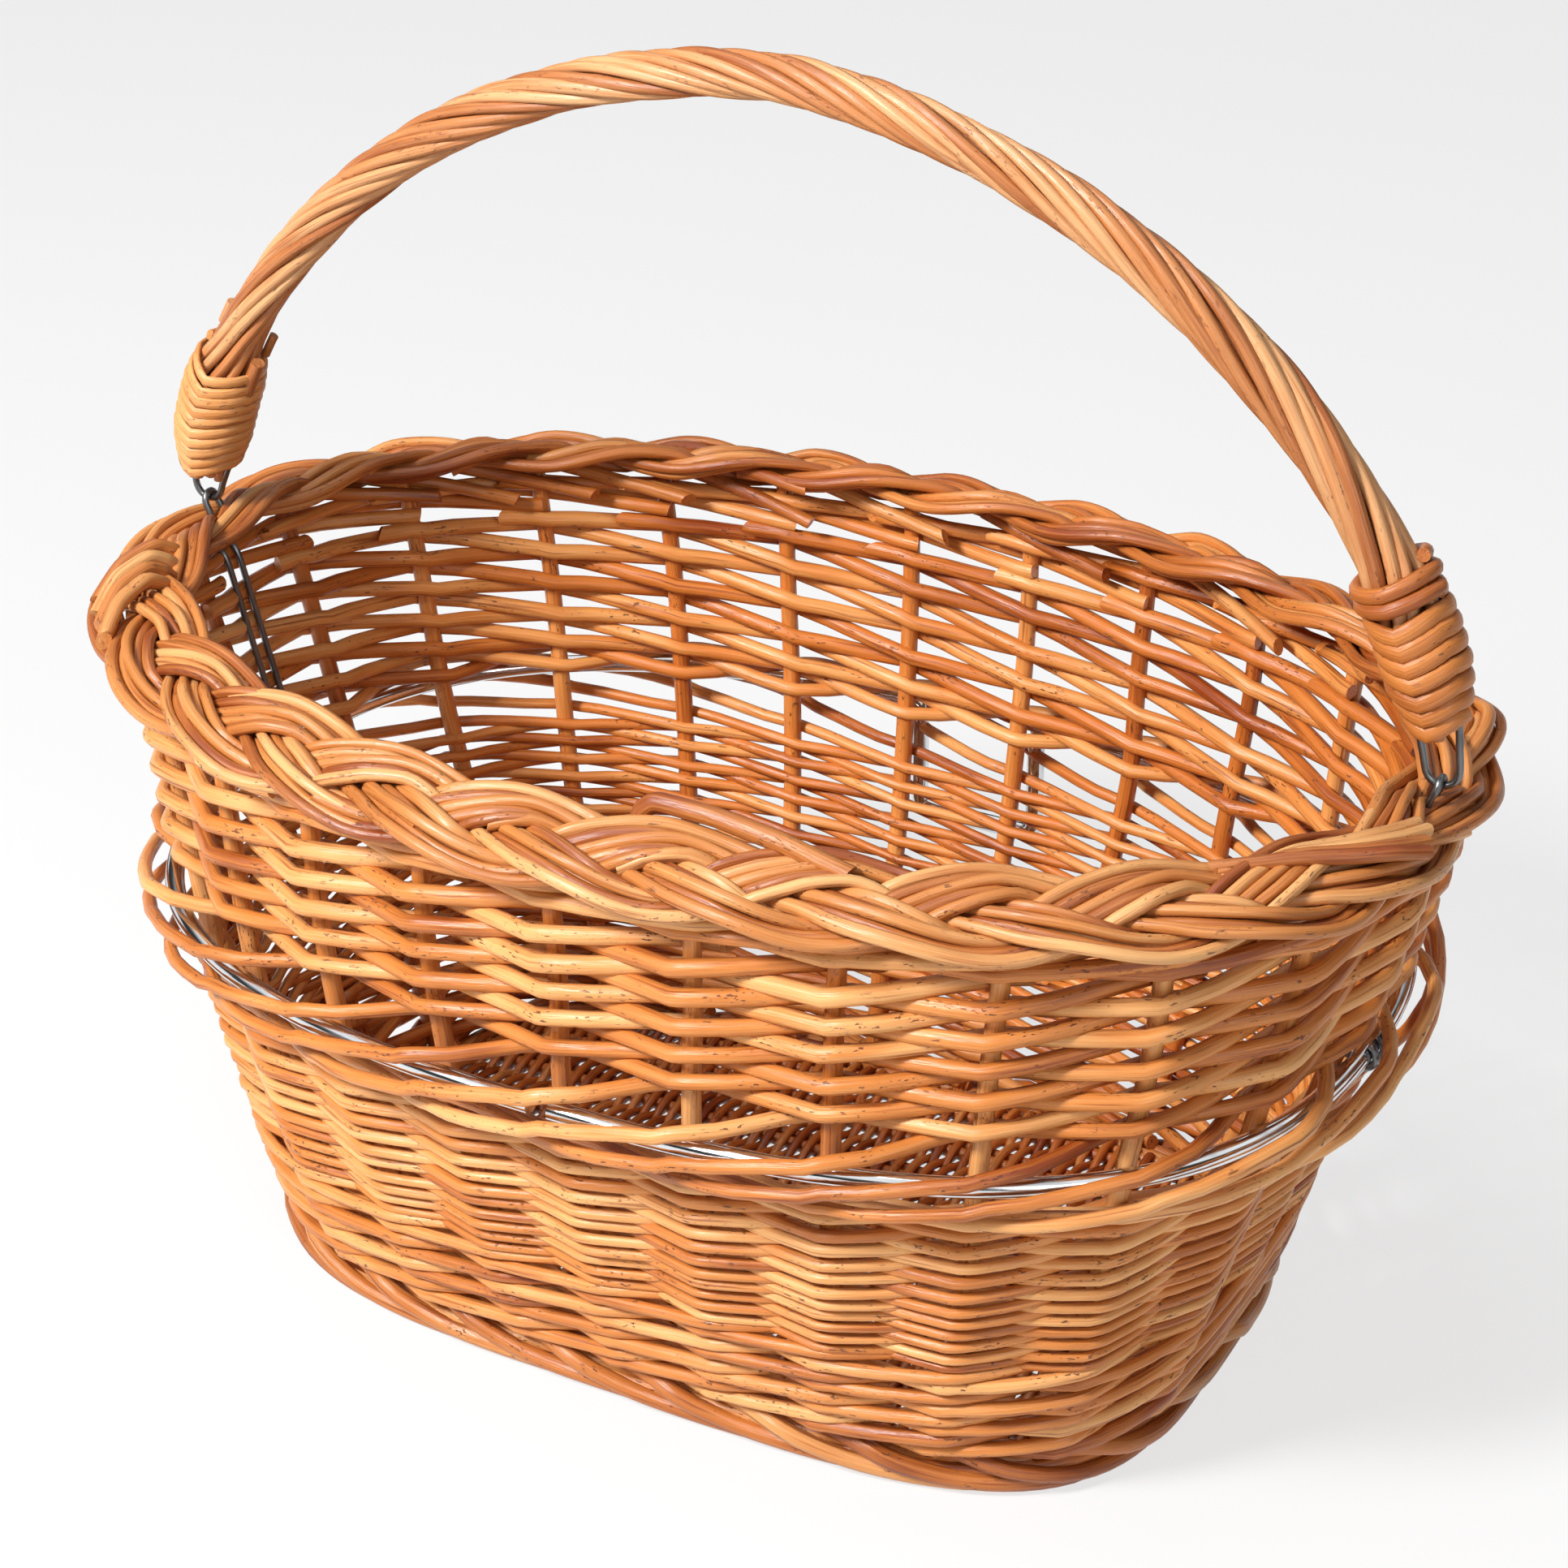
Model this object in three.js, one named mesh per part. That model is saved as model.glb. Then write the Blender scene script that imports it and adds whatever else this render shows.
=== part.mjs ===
// Wicker bicycle basket with a swinging handle and a steel carrier ring.
// Millimetres. X runs along the basket to its right handle eye, Y points to the bicycle, and Z is up
// from the floor under the middle of the basket.
import * as THREE from 'three';

// Air between two pieces that touch
const CLEARANCE = 0.3;

// Middle line of the stakes, an oval at the foot, at the carrier ring and at the rim
const FOOT_HALF_LENGTH = 133.8;
const FOOT_HALF_WIDTH = 85.5;
const FOOT_SQUARENESS = 3.8;
const BELLY_HALF_LENGTH = 168.6;
const BELLY_HALF_WIDTH = 113;
const BELLY_SQUARENESS = 2.6;
const RIM_HALF_LENGTH = 188;
const RIM_HALF_WIDTH = 117.5;
const RIM_SQUARENESS = 2.2;

// Foot border, base mat and stakes
const FOOT_BORDER_RADIUS = 6.8;
const FOOT_BORDER_SIDES = 8;
const FOOT_BORDER_STATIONS = 50;
const MAT_THICKNESS = 6;
const MAT_LIFT = 4;
const MAT_STATIONS = 50;
const STAKE_COUNT = 25;
const STAKE_PHASE = -0.25;
const STAKE_FOOT_RADIUS = 3;
const STAKE_TOP_RADIUS = 2.6;
const STAKE_SIDES = 5;
const STAKE_SEGMENTS = 6;

// Woven bands, from the foot up: radius of the rod, and its rounds or the least height that a round
// takes where the band fills the wall between its neighbours
const BOTTOM_WALE_RADIUS = 2.5;
const BOTTOM_WALE_ROUNDS = 6;
const LOWER_SIDING_RADIUS = 1.9;
const LOWER_SIDING_PITCH = 4.9;
const UPPER_SIDING_RADIUS = 2.2;
const UPPER_SIDING_PITCH = 4.8;
const TOP_WALE_RADIUS = 2.1;
const TOP_WALE_ROUNDS = 2;
const WEAVER_SIDES = 4;
const WEAVE_START = 8;
const STEP_UP_STAKES = 4;
const ROD_END_SHARE = 0.4;
const WALE_REPEAT = 3;

// Carrier ring, its bracket bend at the back and its open ends at the front
const RING_HEIGHT = 115.6;
const RING_SIDE_AIR = 6.2;
const RING_SQUARENESS = 2.48;
const RING_RADIUS = 2.75;
const RING_SIDES = 8;
const RING_STATIONS = 60;
const RING_END_GAP = 6;
const BRACKET_DROP = 36;
const BRACKET_BEND_RADIUS = 6;
const BRACKET_BEND_STEPS = 4;

// Rods woven round the ring: one long rod that goes round four times
const RING_WALE_RADIUS = 2.5;
const RING_WALE_REPEAT = 4;
const RING_WALE_RISE = 9.5;
const RING_WALE_BULGE = 2;
const RING_WALE_FULLNESS = 0.7;
const RING_WALE_STEPS = 2;

// Plaited border on the rim
const BORDER_HEIGHT = 189.3;
const BORDER_OVERHANG = 2;
const BORDER_SQUARENESS = 2.15;
const BORDER_STRANDS = 3;
const BORDER_WAVES = 8;
const BORDER_SWING = 13.2;
const BORDER_LIFT = 3.9;
const BORDER_STRAND_HALF_WIDTH = 5.5;
const BORDER_STRAND_HALF_THICKNESS = 2.7;
const BORDER_TILT = THREE.MathUtils.degToRad(8);
const BORDER_STATIONS_PER_WAVE = 9;
const BORDER_SIDES = 6;

// Handle arch from eye to eye
const PIVOT_INSET = 1.1;
const PIVOT_LIFT = 7.7;
const HANDLE_RISE = 154.4;
const HANDLE_SQUARENESS = 1.81;
const HANDLE_LEFT_RADIUS = 6.8;
const HANDLE_TOP_RADIUS = 6.5;
const HANDLE_RIGHT_RADIUS = 8.3;
const HANDLE_END_RADIUS = 4.6;
const HANDLE_TAPER_LENGTH = 34;
const HANDLE_END_LIFT = 10;
const HANDLE_RODS = 8;
const HANDLE_GROOVE = 0.13;
const HANDLE_LAY = 150;
const HANDLE_STATIONS = 52;

// Skein bindings round both handle ends
const BINDING_LOOPS = 10;
const BINDING_STEPS = 14;
const BINDING_PITCH = 3.5;
const BINDING_LIFT = 13;
const SKEIN_HALF_WIDTH = 1.4;
const SKEIN_HALF_THICKNESS = 0.55;

// Steel wire eyes and links
const WIRE_RADIUS = 1;
const WIRE_SIDES = 6;
const EYE_HALF_WIDTH = 4.6;
const EYE_LEG_LENGTH = 40;
const EYE_PLAY = 0.5;
const LINK_HALF_WIDTH = 2.7;
const LINK_PASS_RIGHT = new THREE.Vector2(-8, 3);
const LINK_PASS_LEFT = new THREE.Vector2(-5, 7);

// Colours
const WILLOW = 0xcb8750;
const WILLOW_DARK = 0xa8642f;
const WILLOW_PALE = 0xdba267;
const CHROME = 0xd8dadd;
const STEEL_WIRE = 0x6f7275;

const UP = new THREE.Vector3(0, 0, 1);
const FULL_TURN = 2 * Math.PI;

// An oval at one height, walked from +X toward +Y; a squareness of 2 is an ellipse
class Oval extends THREE.Curve {
  constructor(halfLength, halfWidth, squareness, height) {
    super();
    this.halfLength = halfLength;
    this.halfWidth = halfWidth;
    this.squareness = squareness;
    this.height = height;
  }

  getPoint(t) {
    const cos = Math.cos(FULL_TURN * t);
    const sin = Math.sin(FULL_TURN * t);
    const alongX = Math.abs(cos / this.halfLength) ** this.squareness;
    const alongY = Math.abs(sin / this.halfWidth) ** this.squareness;
    const radius = (alongX + alongY) ** (-1 / this.squareness);
    return new THREE.Vector3(radius * cos, radius * sin, this.height);
  }

  // Point and outward direction at a share of the way round
  stand(share, reach = 0, lift = 0) {
    const wrapped = share - Math.floor(share);
    const out = this.getTangentAt(wrapped).cross(UP).normalize();
    const at = this.getPointAt(wrapped).addScaledVector(out, reach);
    at.z += lift;
    return { at, out };
  }
}

const footTop = 2 * FOOT_BORDER_RADIUS * Math.cos(Math.PI / FOOT_BORDER_SIDES);
const borderBottom = BORDER_HEIGHT - BORDER_LIFT - BORDER_STRAND_HALF_THICKNESS;

function stakeRadius(height) {
  const share = (height - footTop) / (borderBottom - footTop);
  return THREE.MathUtils.lerp(STAKE_FOOT_RADIUS, STAKE_TOP_RADIUS, share);
}

// The ring lies against the stakes at both ends of the basket and stands off along its sides
const ringStandOff = stakeRadius(RING_HEIGHT) + CLEARANCE + RING_RADIUS;
const ringHalfLength = BELLY_HALF_LENGTH + ringStandOff;
const ringHalfWidth = BELLY_HALF_WIDTH + ringStandOff + RING_SIDE_AIR;
const borderHalfLength = RIM_HALF_LENGTH + BORDER_OVERHANG;
const borderHalfWidth = RIM_HALF_WIDTH + BORDER_OVERHANG;
const pivotX = borderHalfLength - PIVOT_INSET;
const pivotHeight = BORDER_HEIGHT + PIVOT_LIFT;

// A smooth curve through the values at the foot, the ring and the rim
function throughThree(height, foot, belly, rim) {
  const footShare = (height - RING_HEIGHT) * (height - borderBottom)
    / ((footTop - RING_HEIGHT) * (footTop - borderBottom));
  const bellyShare = (height - footTop) * (height - borderBottom)
    / ((RING_HEIGHT - footTop) * (RING_HEIGHT - borderBottom));
  const rimShare = (height - footTop) * (height - RING_HEIGHT)
    / ((borderBottom - footTop) * (borderBottom - RING_HEIGHT));
  return foot * footShare + belly * bellyShare + rim * rimShare;
}

function wallOval(height) {
  return new Oval(
    throughThree(height, FOOT_HALF_LENGTH, BELLY_HALF_LENGTH, RIM_HALF_LENGTH),
    throughThree(height, FOOT_HALF_WIDTH, BELLY_HALF_WIDTH, RIM_HALF_WIDTH),
    throughThree(height, FOOT_SQUARENESS, BELLY_SQUARENESS, RIM_SQUARENESS),
    height,
  );
}

const ringOval = new Oval(ringHalfLength, ringHalfWidth, RING_SQUARENESS, RING_HEIGHT);
const borderOval = new Oval(borderHalfLength, borderHalfWidth, BORDER_SQUARENESS, BORDER_HEIGHT);

// Solids are swept from stations: at is the place, out the direction of the section's first corner.
// section(k, station) gives corner k as its distances out and across.
function sweep(stations, sides, section, closed = false) {
  const count = stations.length;
  const positions = [];
  const triangles = [];
  let out = stations[0].out;
  stations.forEach((station, i) => {
    const before = stations[closed ? (i + count - 1) % count : Math.max(i - 1, 0)].at;
    const after = stations[closed ? (i + 1) % count : Math.min(i + 1, count - 1)].at;
    const along = after.clone().sub(before).normalize();
    out = (station.out ?? out).clone().projectOnPlane(along).normalize();
    const across = along.clone().cross(out);
    for (let k = 0; k < sides; k += 1) {
      const [outward, sideways] = section(k, station);
      const corner = station.at.clone().addScaledVector(out, outward).addScaledVector(across, sideways);
      positions.push(...corner.toArray());
    }
  });
  const rings = closed ? count : count - 1;
  for (let i = 0; i < rings; i += 1) {
    const here = i * sides;
    const next = ((i + 1) % count) * sides;
    for (let k = 0; k < sides; k += 1) {
      const beside = (k + 1) % sides;
      triangles.push(here + k, here + beside, next + beside, here + k, next + beside, next + k);
    }
  }
  if (!closed) {
    const startCentre = positions.length / 3;
    positions.push(...stations[0].at.toArray(), ...stations[count - 1].at.toArray());
    const last = (count - 1) * sides;
    for (let k = 0; k < sides; k += 1) {
      const beside = (k + 1) % sides;
      triangles.push(startCentre, beside, k, startCentre + 1, last + k, last + beside);
    }
  }
  const geometry = new THREE.BufferGeometry();
  geometry.setAttribute('position', new THREE.Float32BufferAttribute(positions, 3));
  geometry.setIndex(triangles);
  geometry.computeVertexNormals();
  return geometry;
}

// Round section, or an oval one when the two radii differ; turn shifts the first corner by steps
function roundSection(sides, outRadius, acrossRadius = outRadius, turn = 0) {
  return (k) => {
    const angle = FULL_TURN * (k + turn) / sides;
    return [outRadius * Math.cos(angle), acrossRadius * Math.sin(angle)];
  };
}

const group = new THREE.Group();
group.name = 'wicker_bicycle_basket';

function add(name, geometry, colour, roughness = 0.6, metalness = 0) {
  const material = new THREE.MeshStandardMaterial({ color: colour, roughness, metalness });
  const mesh = new THREE.Mesh(geometry, material);
  mesh.name = name;
  group.add(mesh);
  return mesh;
}

// Foot border: a rolled ring that stands flat on the floor
const footBorderFlat = FOOT_BORDER_RADIUS * Math.cos(Math.PI / FOOT_BORDER_SIDES);
const footOval = new Oval(FOOT_HALF_LENGTH, FOOT_HALF_WIDTH, FOOT_SQUARENESS, footBorderFlat);
const footStations = [];
for (let i = 0; i < FOOT_BORDER_STATIONS; i += 1) {
  footStations.push(footOval.stand(i / FOOT_BORDER_STATIONS));
}
const footSection = roundSection(FOOT_BORDER_SIDES, FOOT_BORDER_RADIUS, FOOT_BORDER_RADIUS, 0.5);
add('foot_border', sweep(footStations, FOOT_BORDER_SIDES, footSection, true), WILLOW_DARK, 0.65);

// Base mat, woven flat inside the foot border
const matOutline = [];
for (let i = 0; i < MAT_STATIONS; i += 1) {
  const edge = footOval.stand(i / MAT_STATIONS, -FOOT_BORDER_RADIUS - CLEARANCE).at;
  matOutline.push(new THREE.Vector2(edge.x, edge.y));
}
const matSolid = new THREE.ExtrudeGeometry(new THREE.Shape(matOutline), {
  depth: MAT_THICKNESS,
  bevelEnabled: false,
});
matSolid.translate(0, 0, MAT_LIFT);
add('base_mat', matSolid, WILLOW_DARK, 0.7);

// Stakes: upright rods from the foot border to the plaited border
function stakeShare(index) {
  return (index + STAKE_PHASE) / STAKE_COUNT;
}

const stakeFoot = footTop + CLEARANCE + STAKE_FOOT_RADIUS / 2;
const stakeTop = borderBottom - CLEARANCE;
for (let index = 0; index < STAKE_COUNT; index += 1) {
  const stations = [];
  for (let i = 0; i <= STAKE_SEGMENTS; i += 1) {
    const height = THREE.MathUtils.lerp(stakeFoot, stakeTop, i / STAKE_SEGMENTS);
    stations.push({ ...wallOval(height).stand(stakeShare(index)), height });
  }
  const section = (k, station) => roundSection(STAKE_SIDES, stakeRadius(station.height))(k);
  const name = `stake_${String(index + 1).padStart(2, '0')}`;
  add(name, sweep(stations, STAKE_SIDES, section), WILLOW, 0.6);
}

// Distance from a stake's middle line to a rod that passes it on one side, with the kink it makes
function passingReach(share, height, rodRadius, side) {
  const oval = wallOval(height);
  const contact = stakeRadius(height) + rodRadius + CLEARANCE;
  const half = 0.5 / STAKE_COUNT;
  const spacing = oval.getLength() / STAKE_COUNT;
  const bend = oval.stand(share - half).out.angleTo(oval.stand(share + half).out);
  const slope = Math.atan(2 * contact / spacing) + side * bend / 2;
  const here = oval.stand(share);
  const above = wallOval(height + 1).stand(share);
  const lean = Math.atan(above.at.sub(here.at).dot(here.out));
  return contact / (Math.cos(slope) * Math.cos(lean));
}

// Height in a band's rounds: level, with a step up over the last few stakes of each round
function roundsRisen(rounds) {
  const whole = Math.floor(rounds);
  const stepShare = STEP_UP_STAKES / STAKE_COUNT;
  const step = THREE.MathUtils.clamp((rounds - whole - 1 + stepShare) / stepShare, 0, 1);
  return whole + step;
}

// One rod woven round the stakes, straight from stake to stake; side(pass) is 1 outside, -1 inside
function wovenBand(rodRadius, rounds, firstHeight, pitch, side) {
  const lastPass = Math.floor(rounds * STAKE_COUNT) - STEP_UP_STAKES;
  const passes = [];
  for (let pass = 0; pass <= lastPass; pass += 1) {
    const share = stakeShare(WEAVE_START + pass);
    const height = firstHeight + pitch * roundsRisen(pass / STAKE_COUNT);
    const reach = side(pass) * passingReach(share, height, rodRadius, side(pass));
    passes.push(wallOval(height).stand(share, reach));
  }
  const beyond = (end, inner) => ({
    at: end.at.clone().lerp(inner.at, -ROD_END_SHARE * ROD_END_SHARE),
    out: end.out,
  });
  const stations = [
    beyond(passes[0], passes[1]),
    ...passes,
    beyond(passes[lastPass], passes[lastPass - 1]),
  ];
  return sweep(stations, WEAVER_SIDES, roundSection(WEAVER_SIDES, rodRadius));
}

const randing = (pass) => (pass % 2 ? 1 : -1);
const waling = (pass) => (pass % WALE_REPEAT ? 1 : -1);

// A siding fills the wall from its first round to its last, with as many rounds as find room
function siding(name, rodRadius, leastPitch, first, last, colour) {
  const steps = Math.max(Math.floor((last - first) / Math.max(leastPitch, 2 * rodRadius + CLEARANCE)), 1);
  add(name, wovenBand(rodRadius, steps + 1, first, (last - first) / steps, randing), colour);
}

const bottomWaleFirst = footTop + CLEARANCE + BOTTOM_WALE_RADIUS;
const bottomWalePitch = 2 * BOTTOM_WALE_RADIUS + CLEARANCE;
const bottomWaleLast = bottomWaleFirst + bottomWalePitch * (BOTTOM_WALE_ROUNDS - 1);
add(
  'bottom_wale',
  wovenBand(BOTTOM_WALE_RADIUS, BOTTOM_WALE_ROUNDS, bottomWaleFirst, bottomWalePitch, waling),
  WILLOW,
);

const ringWaleReach = RING_WALE_RISE + RING_WALE_RADIUS;
const lowerFirst = bottomWaleLast + BOTTOM_WALE_RADIUS + LOWER_SIDING_RADIUS + CLEARANCE;
const lowerLast = RING_HEIGHT - ringWaleReach - LOWER_SIDING_RADIUS - CLEARANCE;
siding('lower_siding', LOWER_SIDING_RADIUS, LOWER_SIDING_PITCH, lowerFirst, lowerLast, WILLOW_PALE);

const topWalePitch = 2 * TOP_WALE_RADIUS + CLEARANCE;
const linkCorridor = 2 * WIRE_RADIUS + 2 * CLEARANCE;
const topWaleLast = borderBottom - linkCorridor - TOP_WALE_RADIUS;
const topWaleFirst = topWaleLast - topWalePitch * (TOP_WALE_ROUNDS - 1);
add(
  'top_wale',
  wovenBand(TOP_WALE_RADIUS, TOP_WALE_ROUNDS, topWaleFirst, topWalePitch, waling),
  WILLOW_PALE,
);

const upperFirst = RING_HEIGHT + ringWaleReach + UPPER_SIDING_RADIUS + CLEARANCE;
const upperLast = topWaleFirst - TOP_WALE_RADIUS - UPPER_SIDING_RADIUS - CLEARANCE;
siding('upper_siding', UPPER_SIDING_RADIUS, UPPER_SIDING_PITCH, upperFirst, upperLast, WILLOW);

// Carrier ring: a bright rod outside the stakes, with a bracket bend hanging at the back.
// Its route is drawn on the unrolled oval, along by distance from the front middle and up by height.
const ringLength = ringOval.getLength();
const frontShare = 0.75;

function ringStation(distance, lift) {
  return ringOval.stand(frontShare + distance / ringLength, 0, lift);
}

function bentRoute(corners) {
  const route = [corners[0]];
  for (let i = 1; i < corners.length - 1; i += 1) {
    const toBefore = corners[i - 1].clone().sub(corners[i]).normalize();
    const toAfter = corners[i + 1].clone().sub(corners[i]).normalize();
    const from = corners[i].clone().addScaledVector(toBefore, BRACKET_BEND_RADIUS);
    const to = corners[i].clone().addScaledVector(toAfter, BRACKET_BEND_RADIUS);
    const bend = new THREE.QuadraticBezierCurve(from, corners[i], to);
    route.push(...bend.getPoints(BRACKET_BEND_STEPS));
  }
  route.push(corners[corners.length - 1]);
  return route;
}

const bracketWidth = ringLength / STAKE_COUNT;
const backStakes = Math.floor(STAKE_COUNT / 4 - STAKE_PHASE);
const bracketMiddle = (stakeShare(backStakes + 0.5) + 1 - frontShare) * ringLength;
const bracketStart = bracketMiddle - bracketWidth / 2;
const bracketEnd = bracketMiddle + bracketWidth / 2;
const ringStart = RING_END_GAP / 2;
const ringEnd = ringLength - RING_END_GAP / 2;
const bracketCorners = [
  new THREE.Vector2(bracketStart - 2 * BRACKET_BEND_RADIUS, 0),
  new THREE.Vector2(bracketStart, 0),
  new THREE.Vector2(bracketStart, -BRACKET_DROP),
  new THREE.Vector2(bracketEnd, -BRACKET_DROP),
  new THREE.Vector2(bracketEnd, 0),
  new THREE.Vector2(bracketEnd + 2 * BRACKET_BEND_RADIUS, 0),
];
const ringStations = [];
const halfRingStations = RING_STATIONS / 2;
for (let i = 0; i < halfRingStations; i += 1) {
  const distance = THREE.MathUtils.lerp(ringStart, bracketCorners[0].x, i / halfRingStations);
  ringStations.push(ringStation(distance, 0));
}
for (const point of bentRoute(bracketCorners)) {
  ringStations.push(ringStation(point.x, point.y));
}
for (let i = 1; i <= halfRingStations; i += 1) {
  const after = bracketCorners[bracketCorners.length - 1].x;
  ringStations.push(ringStation(THREE.MathUtils.lerp(after, ringEnd, i / halfRingStations), 0));
}
add(
  'carrier_ring',
  sweep(ringStations, RING_SIDES, roundSection(RING_SIDES, RING_RADIUS)),
  CHROME,
  0.15,
  1,
);

// Ring wale: the rod passes under, outside and over the ring, then behind one stake, and so on
const overRing = RING_RADIUS + 2 * CLEARANCE + RING_WALE_RADIUS + WIRE_RADIUS;
const ringWalePasses = RING_WALE_REPEAT * STAKE_COUNT * RING_WALE_STEPS;

// How far the ring stands outside a stake's middle line at a height near it
function stakeGap(share, height) {
  const onRing = ringOval.stand(share);
  return onRing.at.sub(wallOval(height).stand(share).at).dot(onRing.out);
}

const ringWaleStations = [];
for (let i = 0; i < ringWalePasses; i += 1) {
  const stakes = i / RING_WALE_STEPS;
  const share = stakeShare(stakes);
  const turn = FULL_TURN * stakes / RING_WALE_REPEAT;
  const full = (value) => Math.sign(value) * Math.abs(value) ** RING_WALE_FULLNESS;
  const lift = -RING_WALE_RISE * full(Math.cos(turn));
  const againstStake = passingReach(share, RING_HEIGHT + lift, RING_WALE_RADIUS + CLEARANCE, 1)
    - stakeGap(share, RING_HEIGHT + lift);
  const bulge = RING_WALE_BULGE * Math.cos(FULL_TURN * share) ** 2;
  const behind = -passingReach(share, RING_HEIGHT, RING_WALE_RADIUS, -1) - stakeGap(share, RING_HEIGHT);
  const far = Math.sin(turn) > 0 ? overRing + bulge : behind;
  const reach = THREE.MathUtils.lerp(againstStake, far, Math.abs(full(Math.sin(turn))));
  ringWaleStations.push(ringOval.stand(share, reach, lift));
}
add(
  'ring_wale',
  sweep(ringWaleStations, WEAVER_SIDES, roundSection(WEAVER_SIDES, RING_WALE_RADIUS), true),
  WILLOW_PALE,
);

// Plaited border: three flat strands that swing in and out and pass over and under each other
const borderStations = BORDER_WAVES * BORDER_STATIONS_PER_WAVE;
for (let strand = 0; strand < BORDER_STRANDS; strand += 1) {
  const stations = [];
  for (let i = 0; i < borderStations; i += 1) {
    const share = i / borderStations;
    const { at, out } = borderOval.stand(share);
    const across = out.clone().multiplyScalar(Math.cos(BORDER_TILT)).addScaledVector(UP, -Math.sin(BORDER_TILT));
    const normal = UP.clone().multiplyScalar(Math.cos(BORDER_TILT)).addScaledVector(out, Math.sin(BORDER_TILT));
    const wave = FULL_TURN * (BORDER_WAVES * share + strand / BORDER_STRANDS - 0.25);
    at.addScaledVector(across, BORDER_SWING * Math.sin(wave));
    at.addScaledVector(normal, BORDER_LIFT * Math.sin(2 * wave));
    stations.push({ at, out: across });
  }
  const section = roundSection(BORDER_SIDES, BORDER_STRAND_HALF_WIDTH, BORDER_STRAND_HALF_THICKNESS);
  add(`border_strand_${strand + 1}`, sweep(stations, BORDER_SIDES, section, true), WILLOW_PALE);
}

// Handle arch, walked from the left eye over the top to the right eye
class Arch extends THREE.Curve {
  getPoint(t) {
    const angle = Math.PI * (1 - t);
    const cos = Math.cos(angle);
    const sin = Math.sin(angle);
    const alongX = Math.abs(cos / pivotX) ** HANDLE_SQUARENESS;
    const alongZ = Math.abs(sin / HANDLE_RISE) ** HANDLE_SQUARENESS;
    const radius = (alongX + alongZ) ** (-1 / HANDLE_SQUARENESS);
    return new THREE.Vector3(radius * cos, 0, pivotHeight + radius * sin);
  }

  // Place on the arch and its upward side at a distance from one end; side is 1 right, -1 left
  stand(distance, side) {
    const share = distance / this.getLength();
    const wrapped = side > 0 ? 1 - share : share;
    const along = this.getTangentAt(wrapped);
    const out = new THREE.Vector3(-along.z, 0, along.x);
    return { at: this.getPointAt(wrapped), out };
  }
}

const arch = new Arch();
const archLength = arch.getLength();
const FRONT_TO_BACK = new THREE.Vector3(0, 1, 0);

// Radius of the rod bundle at a distance from the left end, slimmer inside the bindings
function handleRadius(distance) {
  const share = distance / archLength;
  const ends = share < 0.5 ? HANDLE_LEFT_RADIUS : HANDLE_RIGHT_RADIUS;
  const full = THREE.MathUtils.lerp(HANDLE_TOP_RADIUS, ends, Math.abs(2 * share - 1));
  const fromEnd = Math.min(distance, archLength - distance) - HANDLE_END_LIFT;
  return THREE.MathUtils.lerp(HANDLE_END_RADIUS, full, THREE.MathUtils.smoothstep(fromEnd, 0, HANDLE_TAPER_LENGTH));
}

const handleStations = [];
const handleSides = 2 * HANDLE_RODS;
for (let i = 0; i <= HANDLE_STATIONS; i += 1) {
  const share = i / HANDLE_STATIONS;
  const distance = THREE.MathUtils.lerp(HANDLE_END_LIFT, archLength - HANDLE_END_LIFT, share);
  handleStations.push({ ...arch.stand(distance, -1), distance });
}
function handleSection(k, station) {
  const radius = handleRadius(station.distance) * (k % 2 ? 1 - HANDLE_GROOVE : 1);
  const angle = FULL_TURN * (k / handleSides + station.distance / HANDLE_LAY);
  return [radius * Math.cos(angle), radius * Math.sin(angle)];
}
add('handle', sweep(handleStations, handleSides, handleSection), WILLOW);

// Skein bindings, each one strip wound round the handle end and the legs of the wire eye
const SKEIN_SIDES = 4;
const toCorner = 1 / Math.cos(Math.PI / SKEIN_SIDES);
const strip = roundSection(SKEIN_SIDES, toCorner * SKEIN_HALF_THICKNESS, toCorner * SKEIN_HALF_WIDTH, 0.5);

// Least distance between points of a winding's section that lie at least most of a loop apart
function leastGap(geometry, sides, stepsPerLoop) {
  const points = geometry.getAttribute('position');
  const corners = points.count - 2;
  const a = new THREE.Vector3();
  const b = new THREE.Vector3();
  let least = Infinity;
  for (let i = 0; i < corners; i += 1) {
    a.fromBufferAttribute(points, i);
    for (let j = i + sides * (stepsPerLoop - 2); j < corners; j += 1) {
      b.fromBufferAttribute(points, j);
      least = Math.min(least, a.distanceTo(b));
    }
  }
  return least;
}

function bindingStation(side, turns) {
  const distance = BINDING_LIFT + BINDING_PITCH * turns;
  const { at, out } = arch.stand(distance, side);
  const bundle = handleRadius(side > 0 ? archLength - distance : distance);
  const round = 1 / Math.cos(Math.PI / BINDING_STEPS);
  const clear = CLEARANCE + SKEIN_HALF_THICKNESS;
  const overWire = (bundle + 2 * WIRE_RADIUS + CLEARANCE + clear) * round;
  const overRods = (bundle + clear) * round;
  const angle = FULL_TURN * turns;
  const place = at.clone()
    .addScaledVector(out, overWire * Math.cos(angle))
    .addScaledVector(FRONT_TO_BACK, overRods * Math.sin(angle));
  return { at: place, out: place.clone().sub(at) };
}

function binding(side) {
  const stations = [];
  const count = BINDING_LOOPS * BINDING_STEPS;
  for (let i = 0; i <= count; i += 1) {
    stations.push(bindingStation(side, i / BINDING_STEPS));
  }
  const straightEnd = (end, inner) => ({
    at: end.at.clone().sub(inner.at).setLength(2 * SKEIN_HALF_WIDTH).add(end.at),
    out: end.out,
  });
  stations.unshift(straightEnd(stations[0], stations[1]));
  stations.push(straightEnd(stations[count + 1], stations[count]));
  return sweep(stations, SKEIN_SIDES, strip);
}

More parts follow.
